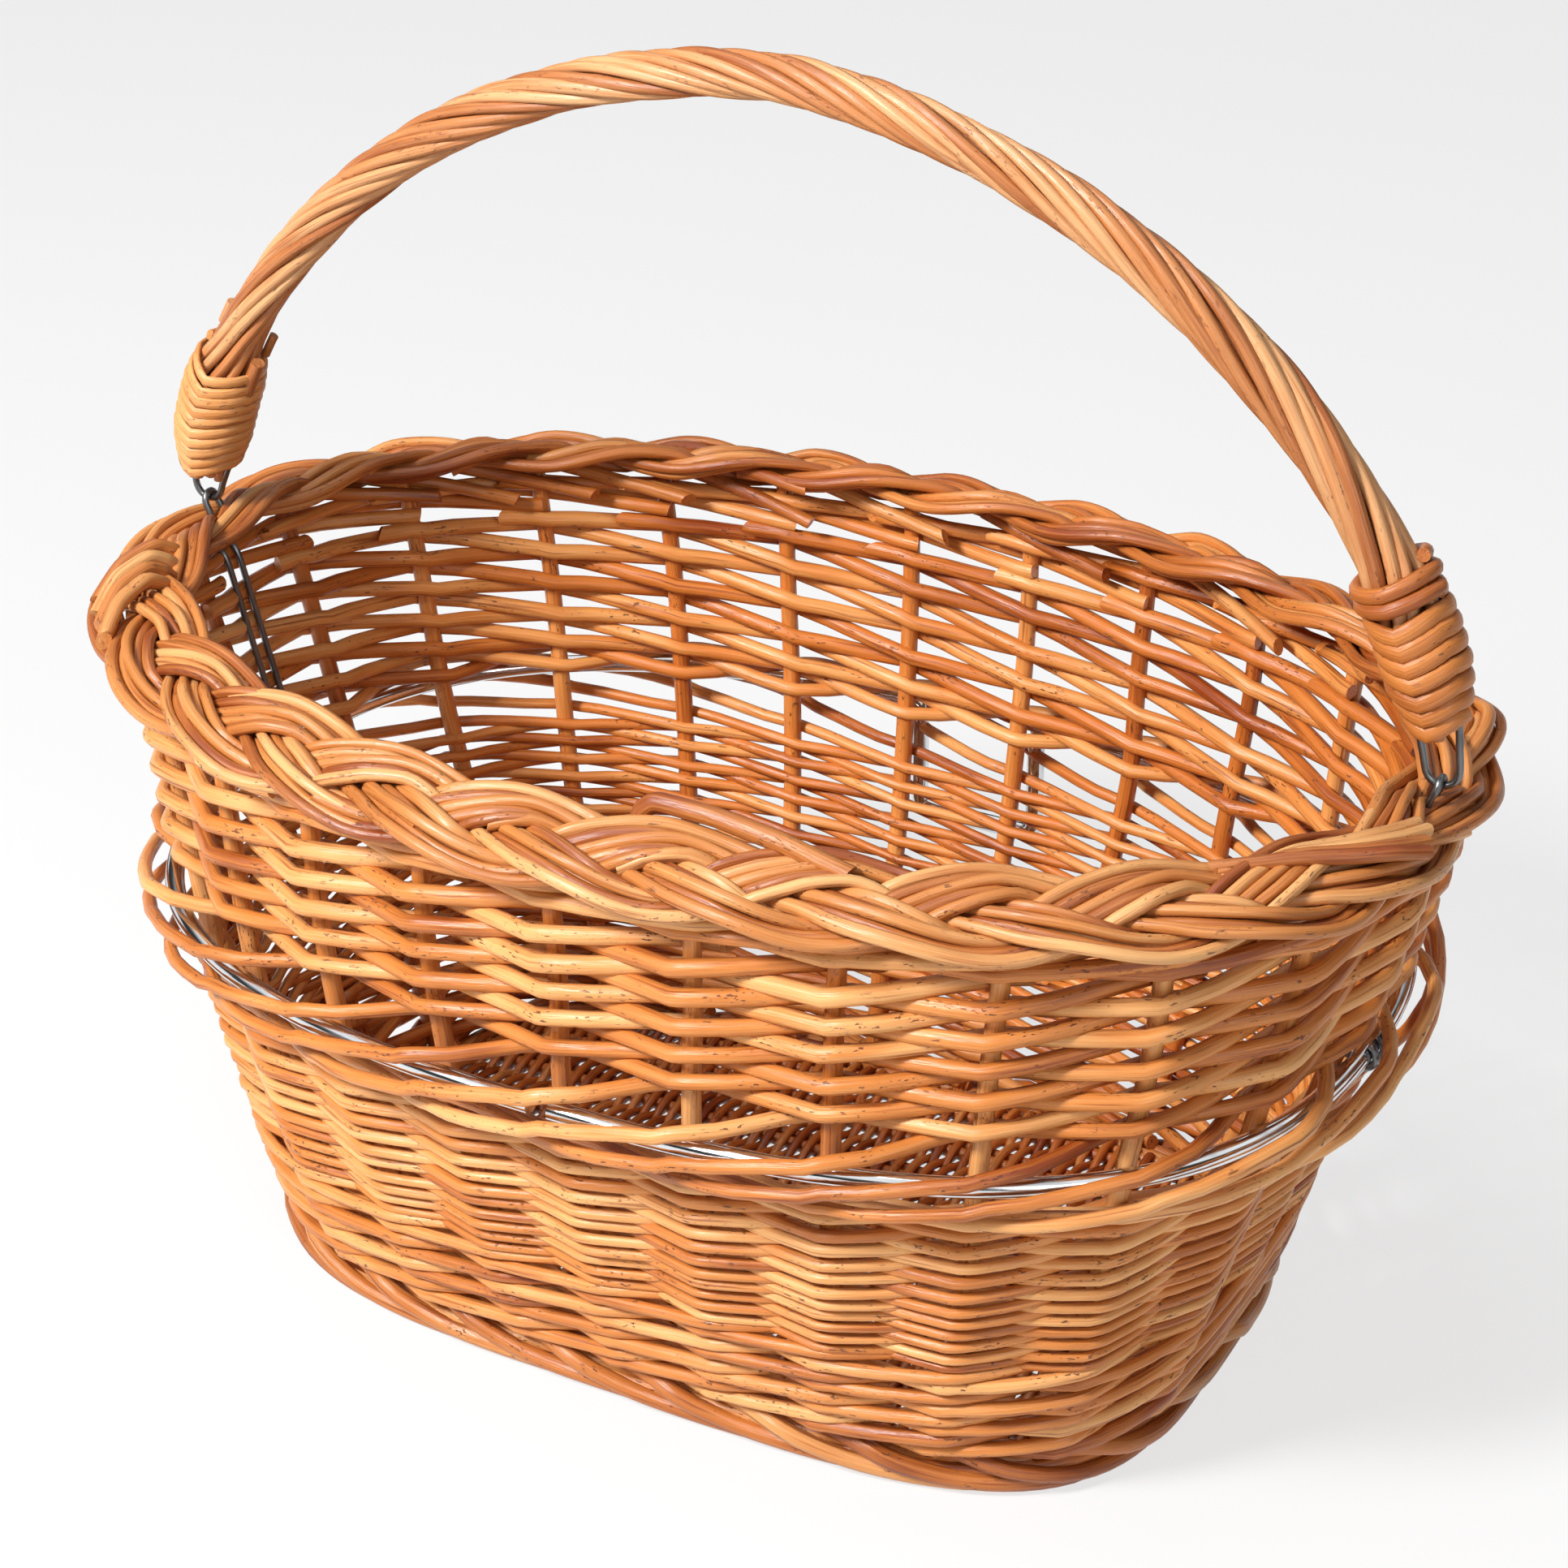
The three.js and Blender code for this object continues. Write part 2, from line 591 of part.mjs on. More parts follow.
// Wire eyes: a hairpin that runs up both sides of the bundle under the binding
function eye(side) {
  const legs = [1, 0.6, 0.2].map((share) => HANDLE_END_LIFT + share * EYE_LEG_LENGTH);
  const points = [];
  const onLeg = (distance, face) => {
    const { at, out } = arch.stand(distance, side);
    const bundle = handleRadius(side > 0 ? archLength - distance : distance);
    return at.addScaledVector(out, face * (bundle + CLEARANCE + WIRE_RADIUS));
  };
  legs.forEach((distance) => points.push(onLeg(distance, 1)));
  const bendCentre = new THREE.Vector3(side * pivotX, 0, pivotHeight + EYE_HALF_WIDTH);
  const bendSteps = 6;
  const firstOut = arch.stand(0, side).out.x;
  for (let i = 0; i <= bendSteps; i += 1) {
    const angle = Math.PI * i / bendSteps;
    const sideways = EYE_HALF_WIDTH * Math.cos(angle) * Math.sign(firstOut);
    points.push(bendCentre.clone().add(new THREE.Vector3(sideways, 0, -EYE_HALF_WIDTH * Math.sin(angle))));
  }
  legs.reverse().forEach((distance) => points.push(onLeg(distance, -1)));
  return wire(points);
}

// Round wire through points
function wire(points) {
  const stations = points.map((at, i) => (i ? { at } : { at, out: FRONT_TO_BACK }));
  return sweep(stations, WIRE_SIDES, roundSection(WIRE_SIDES, WIRE_RADIUS));
}

// Wire links: a long hairpin from the eye down inside the wall, hooked under the carrier ring
function link(side) {
  const wallShare = side > 0 ? 0 : 0.5;
  const hook = RING_RADIUS + WIRE_RADIUS + CLEARANCE;
  const pass = side > 0 ? LINK_PASS_RIGHT : LINK_PASS_LEFT;
  const ringX = ringHalfLength;
  const insideWall = (height) => {
    const clear = passingReach(wallShare, height, UPPER_SIDING_RADIUS, -1);
    return wallOval(height).halfLength - clear - UPPER_SIDING_RADIUS - WIRE_RADIUS - 2 * CLEARANCE;
  };
  const route = [];
  for (let degrees = 60; degrees >= -180; degrees -= 30) {
    const angle = THREE.MathUtils.degToRad(degrees);
    route.push([ringX + hook * Math.cos(angle), RING_HEIGHT + hook * Math.sin(angle)]);
  }
  route.push([ringX + pass.x, RING_HEIGHT + pass.y]);
  const legBottom = RING_HEIGHT + ringWaleReach + WIRE_RADIUS + CLEARANCE;
  const legTop = topWaleLast;
  for (const share of [0, 0.25, 0.5, 0.75, 1]) {
    const height = THREE.MathUtils.lerp(legBottom, legTop, share);
    route.push([insideWall(height), height]);
  }
  const corridor = borderBottom - linkCorridor / 2;
  const hole = borderHalfLength - BORDER_SWING / 4;
  route.push([(insideWall(legTop) + hole) / 2 - WIRE_RADIUS, corridor - CLEARANCE / 2]);
  route.push([hole - WIRE_RADIUS, borderBottom]);
  route.push([hole, BORDER_HEIGHT]);
  route.push([hole, BORDER_HEIGHT + BORDER_LIFT]);
  const bendTop = pivotHeight + 2 * WIRE_RADIUS + EYE_PLAY;
  const bendCentre = bendTop - LINK_HALF_WIDTH;
  route.push([pivotX, bendCentre]);
  const leg = (face) => route.map(([x, z]) => new THREE.Vector3(side * x, face * LINK_HALF_WIDTH, z));
  const bend = [45, 90, 135].map((degrees) => {
    const angle = THREE.MathUtils.degToRad(degrees);
    const across = LINK_HALF_WIDTH * Math.cos(angle);
    return new THREE.Vector3(side * pivotX, across, bendCentre + LINK_HALF_WIDTH * Math.sin(angle));
  });
  return wire([...leg(1), ...bend, ...leg(-1).reverse()]);
}

for (const [side, name] of [[-1, 'left'], [1, 'right']]) {
  const wound = binding(side);
  const gap = leastGap(wound, SKEIN_SIDES, BINDING_STEPS).toFixed(2);
  console.log(`handle_binding_${name}: ${BINDING_LOOPS} loops, least gap to itself ${gap} mm`);
  add(`handle_binding_${name}`, wound, WILLOW_PALE, 0.5);
  add(`handle_eye_${name}`, eye(side), STEEL_WIRE, 0.4, 1);
  add(`link_${name}`, link(side), STEEL_WIRE, 0.4, 1);
}

export default group;
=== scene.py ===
# %% [markdown]
# A willow bicycle basket, dressed rod by rod
#
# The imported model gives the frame: where the stakes stand, how the wall flares, where the carrier ring
# and the handle eyes sit. A real basket is nothing but rods that bend round each other, so this lesson
# draws the middle line of every rod and lets Blender's curves give it its thickness. Lengths are in
# millimetres until a rod becomes a mesh, because that is how a basket maker would measure them.

# %% Load the frame
import math

import bmesh
import bpy
import numpy as np
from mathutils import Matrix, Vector


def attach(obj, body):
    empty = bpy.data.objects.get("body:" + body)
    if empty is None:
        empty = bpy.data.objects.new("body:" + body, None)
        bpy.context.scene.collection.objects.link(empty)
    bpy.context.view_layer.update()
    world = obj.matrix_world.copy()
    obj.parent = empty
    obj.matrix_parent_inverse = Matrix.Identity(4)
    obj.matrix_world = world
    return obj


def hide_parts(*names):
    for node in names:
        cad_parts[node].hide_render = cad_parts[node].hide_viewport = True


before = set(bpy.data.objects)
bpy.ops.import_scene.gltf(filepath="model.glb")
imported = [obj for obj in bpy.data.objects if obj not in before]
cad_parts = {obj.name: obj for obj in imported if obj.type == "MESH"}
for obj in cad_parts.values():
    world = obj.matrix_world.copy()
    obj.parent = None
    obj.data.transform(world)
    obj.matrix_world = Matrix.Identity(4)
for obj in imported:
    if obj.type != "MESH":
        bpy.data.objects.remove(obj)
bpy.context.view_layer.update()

MM = 0.001
rng = np.random.default_rng(7)

# %% [markdown]
# The camera comes first, because every later picture is judged through it. It stands to the front and
# right of the basket and looks down at it. The photograph was cut off centre, which a small shift gives.

# %% Camera
AZIMUTH = math.radians(28.33)
ELEVATION = math.radians(26.49)
DISTANCE = 1.0362
TARGET = Vector((0.0162, 0, 0.1816))

camera = bpy.data.cameras.new("camera")
camera.sensor_width = 36
camera.lens = 88.13
camera.shift_x = -0.02984
camera.shift_y = -0.05722
camera_object = bpy.data.objects.new("camera", camera)
bpy.context.scene.collection.objects.link(camera_object)
backwards = Vector((
    math.sin(AZIMUTH) * math.cos(ELEVATION),
    -math.cos(AZIMUTH) * math.cos(ELEVATION),
    math.sin(ELEVATION),
))
camera_object.location = TARGET + DISTANCE * backwards
camera_object.rotation_euler = (-backwards).to_track_quat("-Z", "Y").to_euler()
bpy.context.scene.camera = camera_object
print("camera stands at", [round(value, 3) for value in camera_object.location])

# %% [markdown]
# The basket is oval at every height, but a different oval each time: nearly a rounded box at the foot,
# softer at the ring, almost an ellipse at the rim. One table holds the middle line of the stakes for
# every height, so that a rod can ask for a place by its share of the way round, its height, and how far
# outside or inside the stakes it runs. Shares start at the right end and go round by the back.

# %% Ovals and the wall
CLEARANCE = 0.3
FOOT = (133.8, 85.5, 3.8)
BELLY = (168.6, 113.0, 2.6)
RIM = (188.0, 117.5, 2.2)
FOOT_TOP, RING_HEIGHT, BORDER_BOTTOM = 12.565, 115.6, 182.7
STAKES, PHASE = 25, -0.25
SHARES = 900
FRONT = 0.75


def oval_table(half_length, half_width, squareness):
    """Points and outward directions of an oval, evenly spaced along it."""
    turn = np.linspace(0, 2 * math.pi, 8 * SHARES + 1)
    radius = (abs(np.cos(turn) / half_length) ** squareness
              + abs(np.sin(turn) / half_width) ** squareness) ** (-1 / squareness)
    line = np.stack([radius * np.cos(turn), radius * np.sin(turn)])
    steps = np.hypot(*np.diff(line, axis=1))
    walked = np.concatenate([[0], np.cumsum(steps)])
    even = np.linspace(0, walked[-1], SHARES + 1)
    points = np.stack([np.interp(even, walked, axis) for axis in line])
    slope = np.gradient(np.concatenate([points[:, -3:-1], points, points[:, 1:3]], axis=1), axis=1)
    slope = slope[:, 2:-2] / np.hypot(*slope[:, 2:-2])
    return np.concatenate([points, [slope[1]], [-slope[0]]]), walked[-1]


def through_three(height, *values):
    """A smooth curve through the values at the foot, the ring and the rim."""
    return np.polyval(np.polyfit((FOOT_TOP, RING_HEIGHT, BORDER_BOTTOM), values, 2), height)


print("lengths round the foot, the ring and the rim:",
      [round(oval_table(*sizes)[1]) for sizes in (FOOT, BELLY, RIM)])

# %% The wall table and places on it
HEIGHTS = np.arange(-4, 204, 4.0)
WALL = np.stack([
    oval_table(*(through_three(height, *sizes) for sizes in zip(FOOT, BELLY, RIM)))[0]
    for height in HEIGHTS
])


def place(table, share, reach, height):
    """Points beside an oval, and their outward directions, both with three coordinates."""
    steps = (np.asarray(share) % 1) * SHARES
    low = np.floor(steps).astype(int)
    mix = steps - low
    row = table[:, low] * (1 - mix) + table[:, low + 1] * mix
    out = np.stack([row[2], row[3], np.zeros_like(row[2])], axis=-1)
    out /= np.linalg.norm(out, axis=-1, keepdims=True)
    points = np.stack([row[0], row[1], np.broadcast_to(height, row[0].shape)], axis=-1)
    return points + out * np.asarray(reach)[..., None], out


def on_wall(share, height, reach=0.0):
    """Points on the wall; reach is the distance outside the middle line of the stakes."""
    share, height, reach = np.broadcast_arrays(share, height, reach)
    level = np.clip((height - HEIGHTS[0]) / (HEIGHTS[1] - HEIGHTS[0]), 0, len(HEIGHTS) - 1.001)
    low = np.floor(level).astype(int)
    mix = (level - low)[..., None]
    steps = (share % 1) * SHARES
    left = np.floor(steps).astype(int)
    part = (steps - left)[..., None]
    grid = WALL.transpose(0, 2, 1)
    row = ((grid[low, left] * (1 - part) + grid[low, left + 1] * part) * (1 - mix)
           + (grid[low + 1, left] * (1 - part) + grid[low + 1, left + 1] * part) * mix)
    out = np.concatenate([row[..., 2:], np.zeros(row.shape[:-1] + (1,))], axis=-1)
    out /= np.linalg.norm(out, axis=-1, keepdims=True)
    points = np.concatenate([row[..., :2], height[..., None]], axis=-1)
    return points + out * reach[..., None], out


def stake_share(stake):
    return (stake + PHASE) / STAKES


def stake_radius(height):
    return np.interp(height, [FOOT_TOP, BORDER_BOTTOM], [3.0, 2.6])


print("wall table:", WALL.shape)

# %% [markdown]
# Every rod becomes one spline of a poly curve: its bevel gives the round section, and the radius of each
# point gives the taper from butt to tip. Converting the curve keeps the vertices in order, ring by ring,
# which makes two attributes easy. "grain" holds the place across the rod and along it, so that bark
# streaks run lengthwise on every rod wherever it goes, and "shade" gives each rod a tone of its own.
# The tube ends are filled, poked to a centre and given the second material, the pale cut wood.

# %% Hand-made unevenness
def smoothed(values, rounds=1):
    """Values along a rod, evened out a little; the ends stay."""
    for _ in range(rounds):
        inner = 0.25 * values[:-2] + 0.5 * values[1:-1] + 0.25 * values[2:]
        values = np.concatenate([values[:1], inner, values[-1:]])
    return values


def wobble(count, size, length):
    """Slow random drift along a rod: count values of about that size, changing over length stations."""
    knots = max(int(count / length) + 3, 4)
    values = rng.normal(0, size, knots)
    return smoothed(np.interp(np.linspace(0, knots - 1, count), range(knots), values), 2)


print("a sharp step, evened out twice:", smoothed(np.array([0.0, 0.0, 1.0, 1.0]), 2))

# %% From middle lines to rods
CUT_SLOT = 1


def make_rods(name, rods, sides=10, flat=None, slant=0.6, away_from=None):
    """One mesh object from rods; each rod is its points and its radius or radii, in millimetres.

    flat gives each rod a direction across which it is squashed. The knife's cuts lean anyhow, or, for the
    last ends, look away from the direction that away_from gives each rod.
    """
    rods = [(points, np.broadcast_to(radii, len(points))) for points, radii in rods]
    curve = bpy.data.curves.new(name, "CURVE")
    curve.dimensions = "3D"
    curve.bevel_depth = 1.0
    curve.bevel_resolution = (sides - 4) // 2
    curve.use_fill_caps = False
    for points, radii in rods:
        spline = curve.splines.new("POLY")
        spline.points.add(len(points) - 1)
        padded = np.concatenate([points * MM, np.ones((len(points), 1))], axis=1)
        spline.points.foreach_set("co", padded.ravel())
        spline.points.foreach_set("radius", radii * MM)
    drawn = bpy.data.objects.new(name + "_curve", curve)
    bpy.context.scene.collection.objects.link(drawn)
    evaluated = drawn.evaluated_get(bpy.context.evaluated_depsgraph_get())
    mesh = bpy.data.meshes.new_from_object(evaluated)
    bpy.data.objects.remove(drawn)
    bpy.data.curves.remove(curve)

    corners = np.empty(len(mesh.vertices) * 3)
    mesh.vertices.foreach_get("co", corners)
    corners = corners.reshape(-1, sides, 3)
    grain = np.empty_like(corners)
    shade = np.empty(corners.shape[:2])
    angle = 2 * math.pi * np.arange(sides) / sides
    start = 0
    for index, (points, radii) in enumerate(rods):
        rings = slice(start, start + len(points))
        middle = points[:, None] * MM
        offset = corners[rings] - middle
        if flat is not None:
            direction, keep = flat[index]
            across = (offset * direction[:, None]).sum(-1, keepdims=True)
            offset = offset - direction[:, None] * across * (1 - keep)
        corners[rings] = middle + offset
        for end, inner in ((0, 1), (-1, -2)):
            along = points[end] - points[inner]
            along = along / np.linalg.norm(along)
            lean = rng.normal(0, 1, 3)
            if away_from is not None and end:
                lean = away_from[index] + 0.2 * lean
            lean -= along * lean.dot(along)
            lean *= slant * rng.uniform(0.2, 1) / np.linalg.norm(lean)
            ring = corners[rings][end]
            ring += along * ((ring - points[end] * MM) @ lean)[:, None]
        steps = np.linalg.norm(np.diff(points, axis=0), axis=1)
        along_rod = (np.concatenate([[0], np.cumsum(steps)]) + rng.uniform(0, 4000)) * MM
        thick = radii[:, None] * MM
        grain[rings, :, 0] = thick * np.cos(angle)
        grain[rings, :, 1] = thick * np.sin(angle)
        grain[rings, :, 2] = along_rod[:, None]
        shade[rings] = rng.uniform()
        start += len(points)
    mesh.vertices.foreach_set("co", corners.ravel())
    mesh.attributes.new("grain", "FLOAT_VECTOR", "POINT").data.foreach_set("vector", grain.ravel())
    mesh.attributes.new("shade", "FLOAT", "POINT").data.foreach_set("value", shade.ravel())
    return close_ends(name, mesh, sides)


def close_ends(name, mesh, sides):
    """Fills the open tube ends, gives them the cut wood, and returns the object."""
    shell = bmesh.new()
    shell.from_mesh(mesh)
    grain = shell.verts.layers.float_vector["grain"]
    shade = shell.verts.layers.float["shade"]
    rims = [edge for edge in shell.edges if edge.is_boundary]
    for edge in rims:
        edge.smooth = False
    for face in shell.faces:
        face.smooth = True
    caps = bmesh.ops.holes_fill(shell, edges=rims, sides=sides)["faces"]
    for face in caps:
        face.material_index = CUT_SLOT
        face.smooth = False
    middles = bmesh.ops.poke(shell, faces=caps)["verts"]
    for middle in middles:
        around = [edge.other_vert(middle) for edge in middle.link_edges]
        middle[grain] = sum((vert[grain] for vert in around), Vector()) / len(around)
        middle[shade] = around[0][shade]
    bmesh.ops.recalc_face_normals(shell, faces=shell.faces)
    shell.to_mesh(mesh)
    shell.free()
    piece = bpy.data.objects.new(name, mesh)
    bpy.context.scene.collection.objects.link(piece)
    piece.data.calc_loop_triangles()
    print(f"{name}: {len(piece.data.loop_triangles)} triangles")
    return piece


# %% [markdown]
# The finishes share one effect, so it is a node group: willow grain. Long thin noise along the rod makes
# the streaks, a slower noise darkens whole stretches, two finer ones make the stains and the dark flecks,
# and each rod's own "shade" number moves its tone. The back of the basket is painted darker and redder than
# the front: painted shade and bounced light, as inside the back wall. The group puts out a colour, a
# roughness and a height, and the Principled shader stays in each material.

# %% Helpers for shader nodes
def surface_group(name, *inputs):
    """A node group with these inputs, which puts out a colour, a roughness and a height."""
    group = bpy.data.node_groups.new(name, "ShaderNodeTree")
    for label, kind in inputs:
        group.interface.new_socket(label, in_out="INPUT", socket_type="NodeSocket" + kind)
    for label, kind in (("Color", "Color"), ("Roughness", "Float"), ("Height", "Float")):
        group.interface.new_socket(label, in_out="OUTPUT", socket_type="NodeSocket" + kind)
    return group, group.nodes.new("NodeGroupInput"), group.nodes.new("NodeGroupOutput")


def maths(tree, operation, first, second=None, third=None):
    """A Math node; numbers are set and sockets are linked."""
    node = tree.nodes.new("ShaderNodeMath")
    node.operation = operation
    for socket, value in zip(node.inputs, (first, second, third)):
        if value is None:
            continue
        if isinstance(value, (int, float)):
            socket.default_value = value
        else:
            tree.links.new(value, socket)
    return node.outputs[0]


def ramp(tree, value, low, high):
    """0 below low, 1 above high, smooth between."""
    node = tree.nodes.new("ShaderNodeMapRange")
    node.interpolation_type = "SMOOTHSTEP"
    tree.links.new(value, node.inputs["Value"])
    node.inputs["From Min"].default_value = low
    node.inputs["From Max"].default_value = high
    return node.outputs["Result"]


def blend_colours(tree, factor, first, second, kind="MIX"):
    """A Mix node for colours; a tuple is set and a socket is linked."""
    node = tree.nodes.new("ShaderNodeMix")
    node.data_type = "RGBA"
    node.blend_type = kind
    for socket, value in ((node.inputs[0], factor), (node.inputs[6], first), (node.inputs[7], second)):
        if isinstance(value, (int, float, tuple)):
            socket.default_value = value
        else:
            tree.links.new(value, socket)
    return node.outputs[2]


def grain_noise(tree, coordinates, across, along, detail=3.0):
    """Noise that is fine across the rod and long along it."""
    mapping = tree.nodes.new("ShaderNodeMapping")
    mapping.inputs["Scale"].default_value = (across, across, along)
    tree.links.new(coordinates, mapping.inputs["Vector"])
    noise = tree.nodes.new("ShaderNodeTexNoise")
    noise.inputs["Scale"].default_value = 1.0
    noise.inputs["Detail"].default_value = detail
    tree.links.new(mapping.outputs["Vector"], noise.inputs["Vector"])
    return noise.outputs["Fac"]


def attribute(tree, name):
    node = tree.nodes.new("ShaderNodeAttribute")
    node.attribute_name = name
    return node


# %% Willow grain
# Painted shade: the back of the basket is multiplied by this darker, redder colour, standing in for shade and
# bounced light inside the back wall.
BACK_PAINTED_SHADE = (1.0, 0.86, 0.68, 1)
FLECK_COLOUR = (0.11, 0.03, 0.009, 1)


def willow_grain():
    group, given, result = surface_group(
        "willow grain", ("Mid", "Color"), ("Light", "Color"), ("Dark", "Color"), ("Specks", "Float"))
    coordinates = attribute(group, "grain").outputs["Vector"]
    shade = attribute(group, "shade").outputs["Fac"]
    streaks = grain_noise(group, coordinates, 1400, 45)
    patches = grain_noise(group, coordinates, 60, 22, 2.0)
    fine = grain_noise(group, coordinates, 3200, 160, 2.0)

    lightness = maths(group, "MULTIPLY_ADD", shade, 0.8, -0.4)
    lightness = maths(group, "ADD", lightness, maths(group, "MULTIPLY_ADD", patches, 1.2, -0.1))
    lightness = maths(group, "ADD", lightness, maths(group, "MULTIPLY_ADD", streaks, 0.8, -0.4))
    colour = blend_colours(group, ramp(group, lightness, 0.42, 1.05), given.outputs["Mid"],
                           given.outputs["Light"])
    colour = blend_colours(group, ramp(group, lightness, 0.48, -0.15), colour, given.outputs["Dark"])

    # Painted shade: from the middle backwards, every rod is blended toward a darker, redder multiple of its
    # colour, standing in for shade and bounced light at the back.
    where = group.nodes.new("ShaderNodeSeparateXYZ")
    group.links.new(group.nodes.new("ShaderNodeTexCoord").outputs["Object"], where.inputs[0])
    colour = blend_colours(group, ramp(group, where.outputs[1], -0.03, 0.08), colour,
                           blend_colours(group, 1.0, colour, BACK_PAINTED_SHADE, "MULTIPLY"))

    spots = grain_noise(group, coordinates, 1500, 520, 2.0)
    clusters = ramp(group, grain_noise(group, coordinates, 240, 70, 1.0), 0.53, 0.66)
    scars = grain_noise(group, coordinates, 520, 110, 4.0)
    stains = ramp(group, grain_noise(group, coordinates, 800, 26, 2.0), 0.58, 0.74)
    colour = blend_colours(group, maths(group, "MULTIPLY", stains, 0.75), colour, given.outputs["Dark"])
    flecks = maths(group, "MULTIPLY", ramp(group, spots, 0.60, 0.68), clusters)
    dark_marks = maths(group, "MAXIMUM", flecks, ramp(group, scars, 0.69, 0.77))
    marked = maths(group, "MULTIPLY", dark_marks, given.outputs["Specks"])
    colour = blend_colours(group, marked, colour, FLECK_COLOUR)

    height = maths(group, "ADD", maths(group, "MULTIPLY", streaks, 0.6), maths(group, "MULTIPLY", fine, 0.4))
    height = maths(group, "MULTIPLY_ADD", marked, 0.5, height)
    rough = maths(group, "MULTIPLY_ADD", fine, 0.3, 0.24)
    group.links.new(colour, result.inputs["Color"])
    group.links.new(rough, result.inputs["Roughness"])
    group.links.new(height, result.inputs["Height"])
    return group


WILLOW_GRAIN = willow_grain()
print("nodes in willow grain:", len(WILLOW_GRAIN.nodes))

# %% [markdown]
# Colours are written as they look on a screen and turned to the linear values that Cycles works with.
# Five willow finishes differ in tone: the rods of the wall, the duller plait, the darker foot, the split
# skein of the bindings, and the rope of the handle. Cut wood is cream with a brown pith in its middle.

# %% Willow finishes
def tone(red, green, blue):
    """A screen colour from 0 to 255, as linear numbers."""
    return tuple((value / 255) ** 2.2 for value in (red, green, blue)) + (1,)


def new_material(name, **settings):
    """A material with its Principled shader, whose plain sockets take the settings."""
    material = bpy.data.materials.new(name)
    material.use_nodes = True
    shader = material.node_tree.nodes["Principled BSDF"]
    for label, value in settings.items():
        shader.inputs[label.replace("_", " ")].default_value = value
    return material, material.node_tree, shader


def grouped_material(name, group, depth, values, **settings):
    """A material whose colour, roughness and bumps of this depth come from a shared group."""
    material, tree, shader = new_material(name, **settings)
    effect = tree.nodes.new("ShaderNodeGroup")
    effect.node_tree = group
    for label, value in values.items():
        effect.inputs[label].default_value = value
    bumps = tree.nodes.new("ShaderNodeBump")
    bumps.inputs["Distance"].default_value = depth
    tree.links.new(effect.outputs["Color"], shader.inputs["Base Color"])
    tree.links.new(effect.outputs["Roughness"], shader.inputs["Roughness"])
    tree.links.new(effect.outputs["Height"], bumps.inputs["Height"])
    tree.links.new(bumps.outputs["Normal"], shader.inputs["Normal"])
    return material


def willow_finish(name, mid, light, dark, specks):
    values = {"Mid": tone(*mid), "Light": tone(*light), "Dark": tone(*dark), "Specks": specks}
    return grouped_material(name, WILLOW_GRAIN, 0.0003, values)


def cut_wood():
    material, tree, shader = new_material("cut_willow", Roughness=0.75)
    coordinates = attribute(tree, "grain").outputs["Vector"]
    split = tree.nodes.new("ShaderNodeSeparateXYZ")
    tree.links.new(coordinates, split.inputs[0])
    square = maths(tree, "ADD", maths(tree, "POWER", split.outputs[0], 2.0),
                   maths(tree, "POWER", split.outputs[1], 2.0))
    from_middle = maths(tree, "SQRT", square)
    wood = blend_colours(tree, ramp(tree, grain_noise(tree, coordinates, 900, 900), 0.3, 0.7),
                         tone(228, 190, 138), tone(250, 228, 188))
    wood = blend_colours(tree, ramp(tree, from_middle, 0.0003, 0.0008), tone(138, 88, 50), wood)
    tree.links.new(wood, shader.inputs["Base Color"])
    return material


WILLOW = willow_finish("willow", (203, 125, 60), (228, 168, 105), (134, 60, 22), 0.9)
WILLOW_PALE = willow_finish("willow_pale", (192, 121, 63), (222, 166, 108), (132, 62, 26), 0.8)
WILLOW_DARK = willow_finish("willow_dark", (186, 110, 52), (212, 150, 90), (114, 48, 18), 0.9)
SKEIN = willow_finish("willow_skein", (196, 120, 58), (224, 160, 98), (146, 74, 32), 0.7)
WILLOW_ROPE = willow_finish("willow_rope", (192, 126, 76), (214, 164, 116), (148, 82, 42), 0.6)
CUT = cut_wood()
print("willow finishes:", [WILLOW.name, WILLOW_PALE.name, WILLOW_DARK.name, SKEIN.name, WILLOW_ROPE.name])

# %% [markdown]
# The ring is chromed steel rod and the eyes and links are bare grey wire. Both carry fine scratches and
# handling marks, from one group again.

# %% Metals
def metal_wear():
    group, given, result = surface_group(
        "metal wear", ("Clean", "Color"), ("Worn", "Color"), ("Base Roughness", "Float"))
    coordinates = attribute(group, "grain").outputs["Vector"]
    smears = grain_noise(group, coordinates, 220, 60, 4.0)
    scratches = grain_noise(group, coordinates, 3000, 90, 2.0)
    worn = ramp(group, smears, 0.5, 0.75)
    group.links.new(blend_colours(group, worn, given.outputs["Clean"], given.outputs["Worn"]),
                    result.inputs["Color"])
    rough = maths(group, "MULTIPLY_ADD", worn, 0.18, given.outputs["Base Roughness"])
    group.links.new(maths(group, "MULTIPLY_ADD", scratches, 0.06, rough), result.inputs["Roughness"])
    group.links.new(scratches, result.inputs["Height"])
    return group


METAL_WEAR = metal_wear()


def metal_finish(name, clean, worn, roughness, depth):
    values = {"Clean": tone(*clean), "Worn": tone(*worn), "Base Roughness": roughness}
    return grouped_material(name, METAL_WEAR, depth, values, Metallic=1.0)


CHROME = metal_finish("ring_chrome", (226, 228, 230), (190, 192, 194), 0.08, 0.00002)
STEEL = metal_finish("steel_wire", (120, 122, 124), (82, 80, 78), 0.3, 0.00005)
print("metals:", CHROME.name, STEEL.name)


def finish_piece(piece, body, slot, materials, *nodes):
    """Gives a piece its materials, hangs it on its body, and hides the frame's parts that it stands for."""
    piece.data.materials.clear()
    for material in materials:
        piece.data.materials.append(material)
    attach(piece, body)
    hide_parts(*nodes)


# %% [markdown]
# The stakes are the skeleton: twenty-five upright rods, stood in the foot roll and ending under the
# plait. Each wavers a little, as natural rods do. They keep their own names, one piece each.

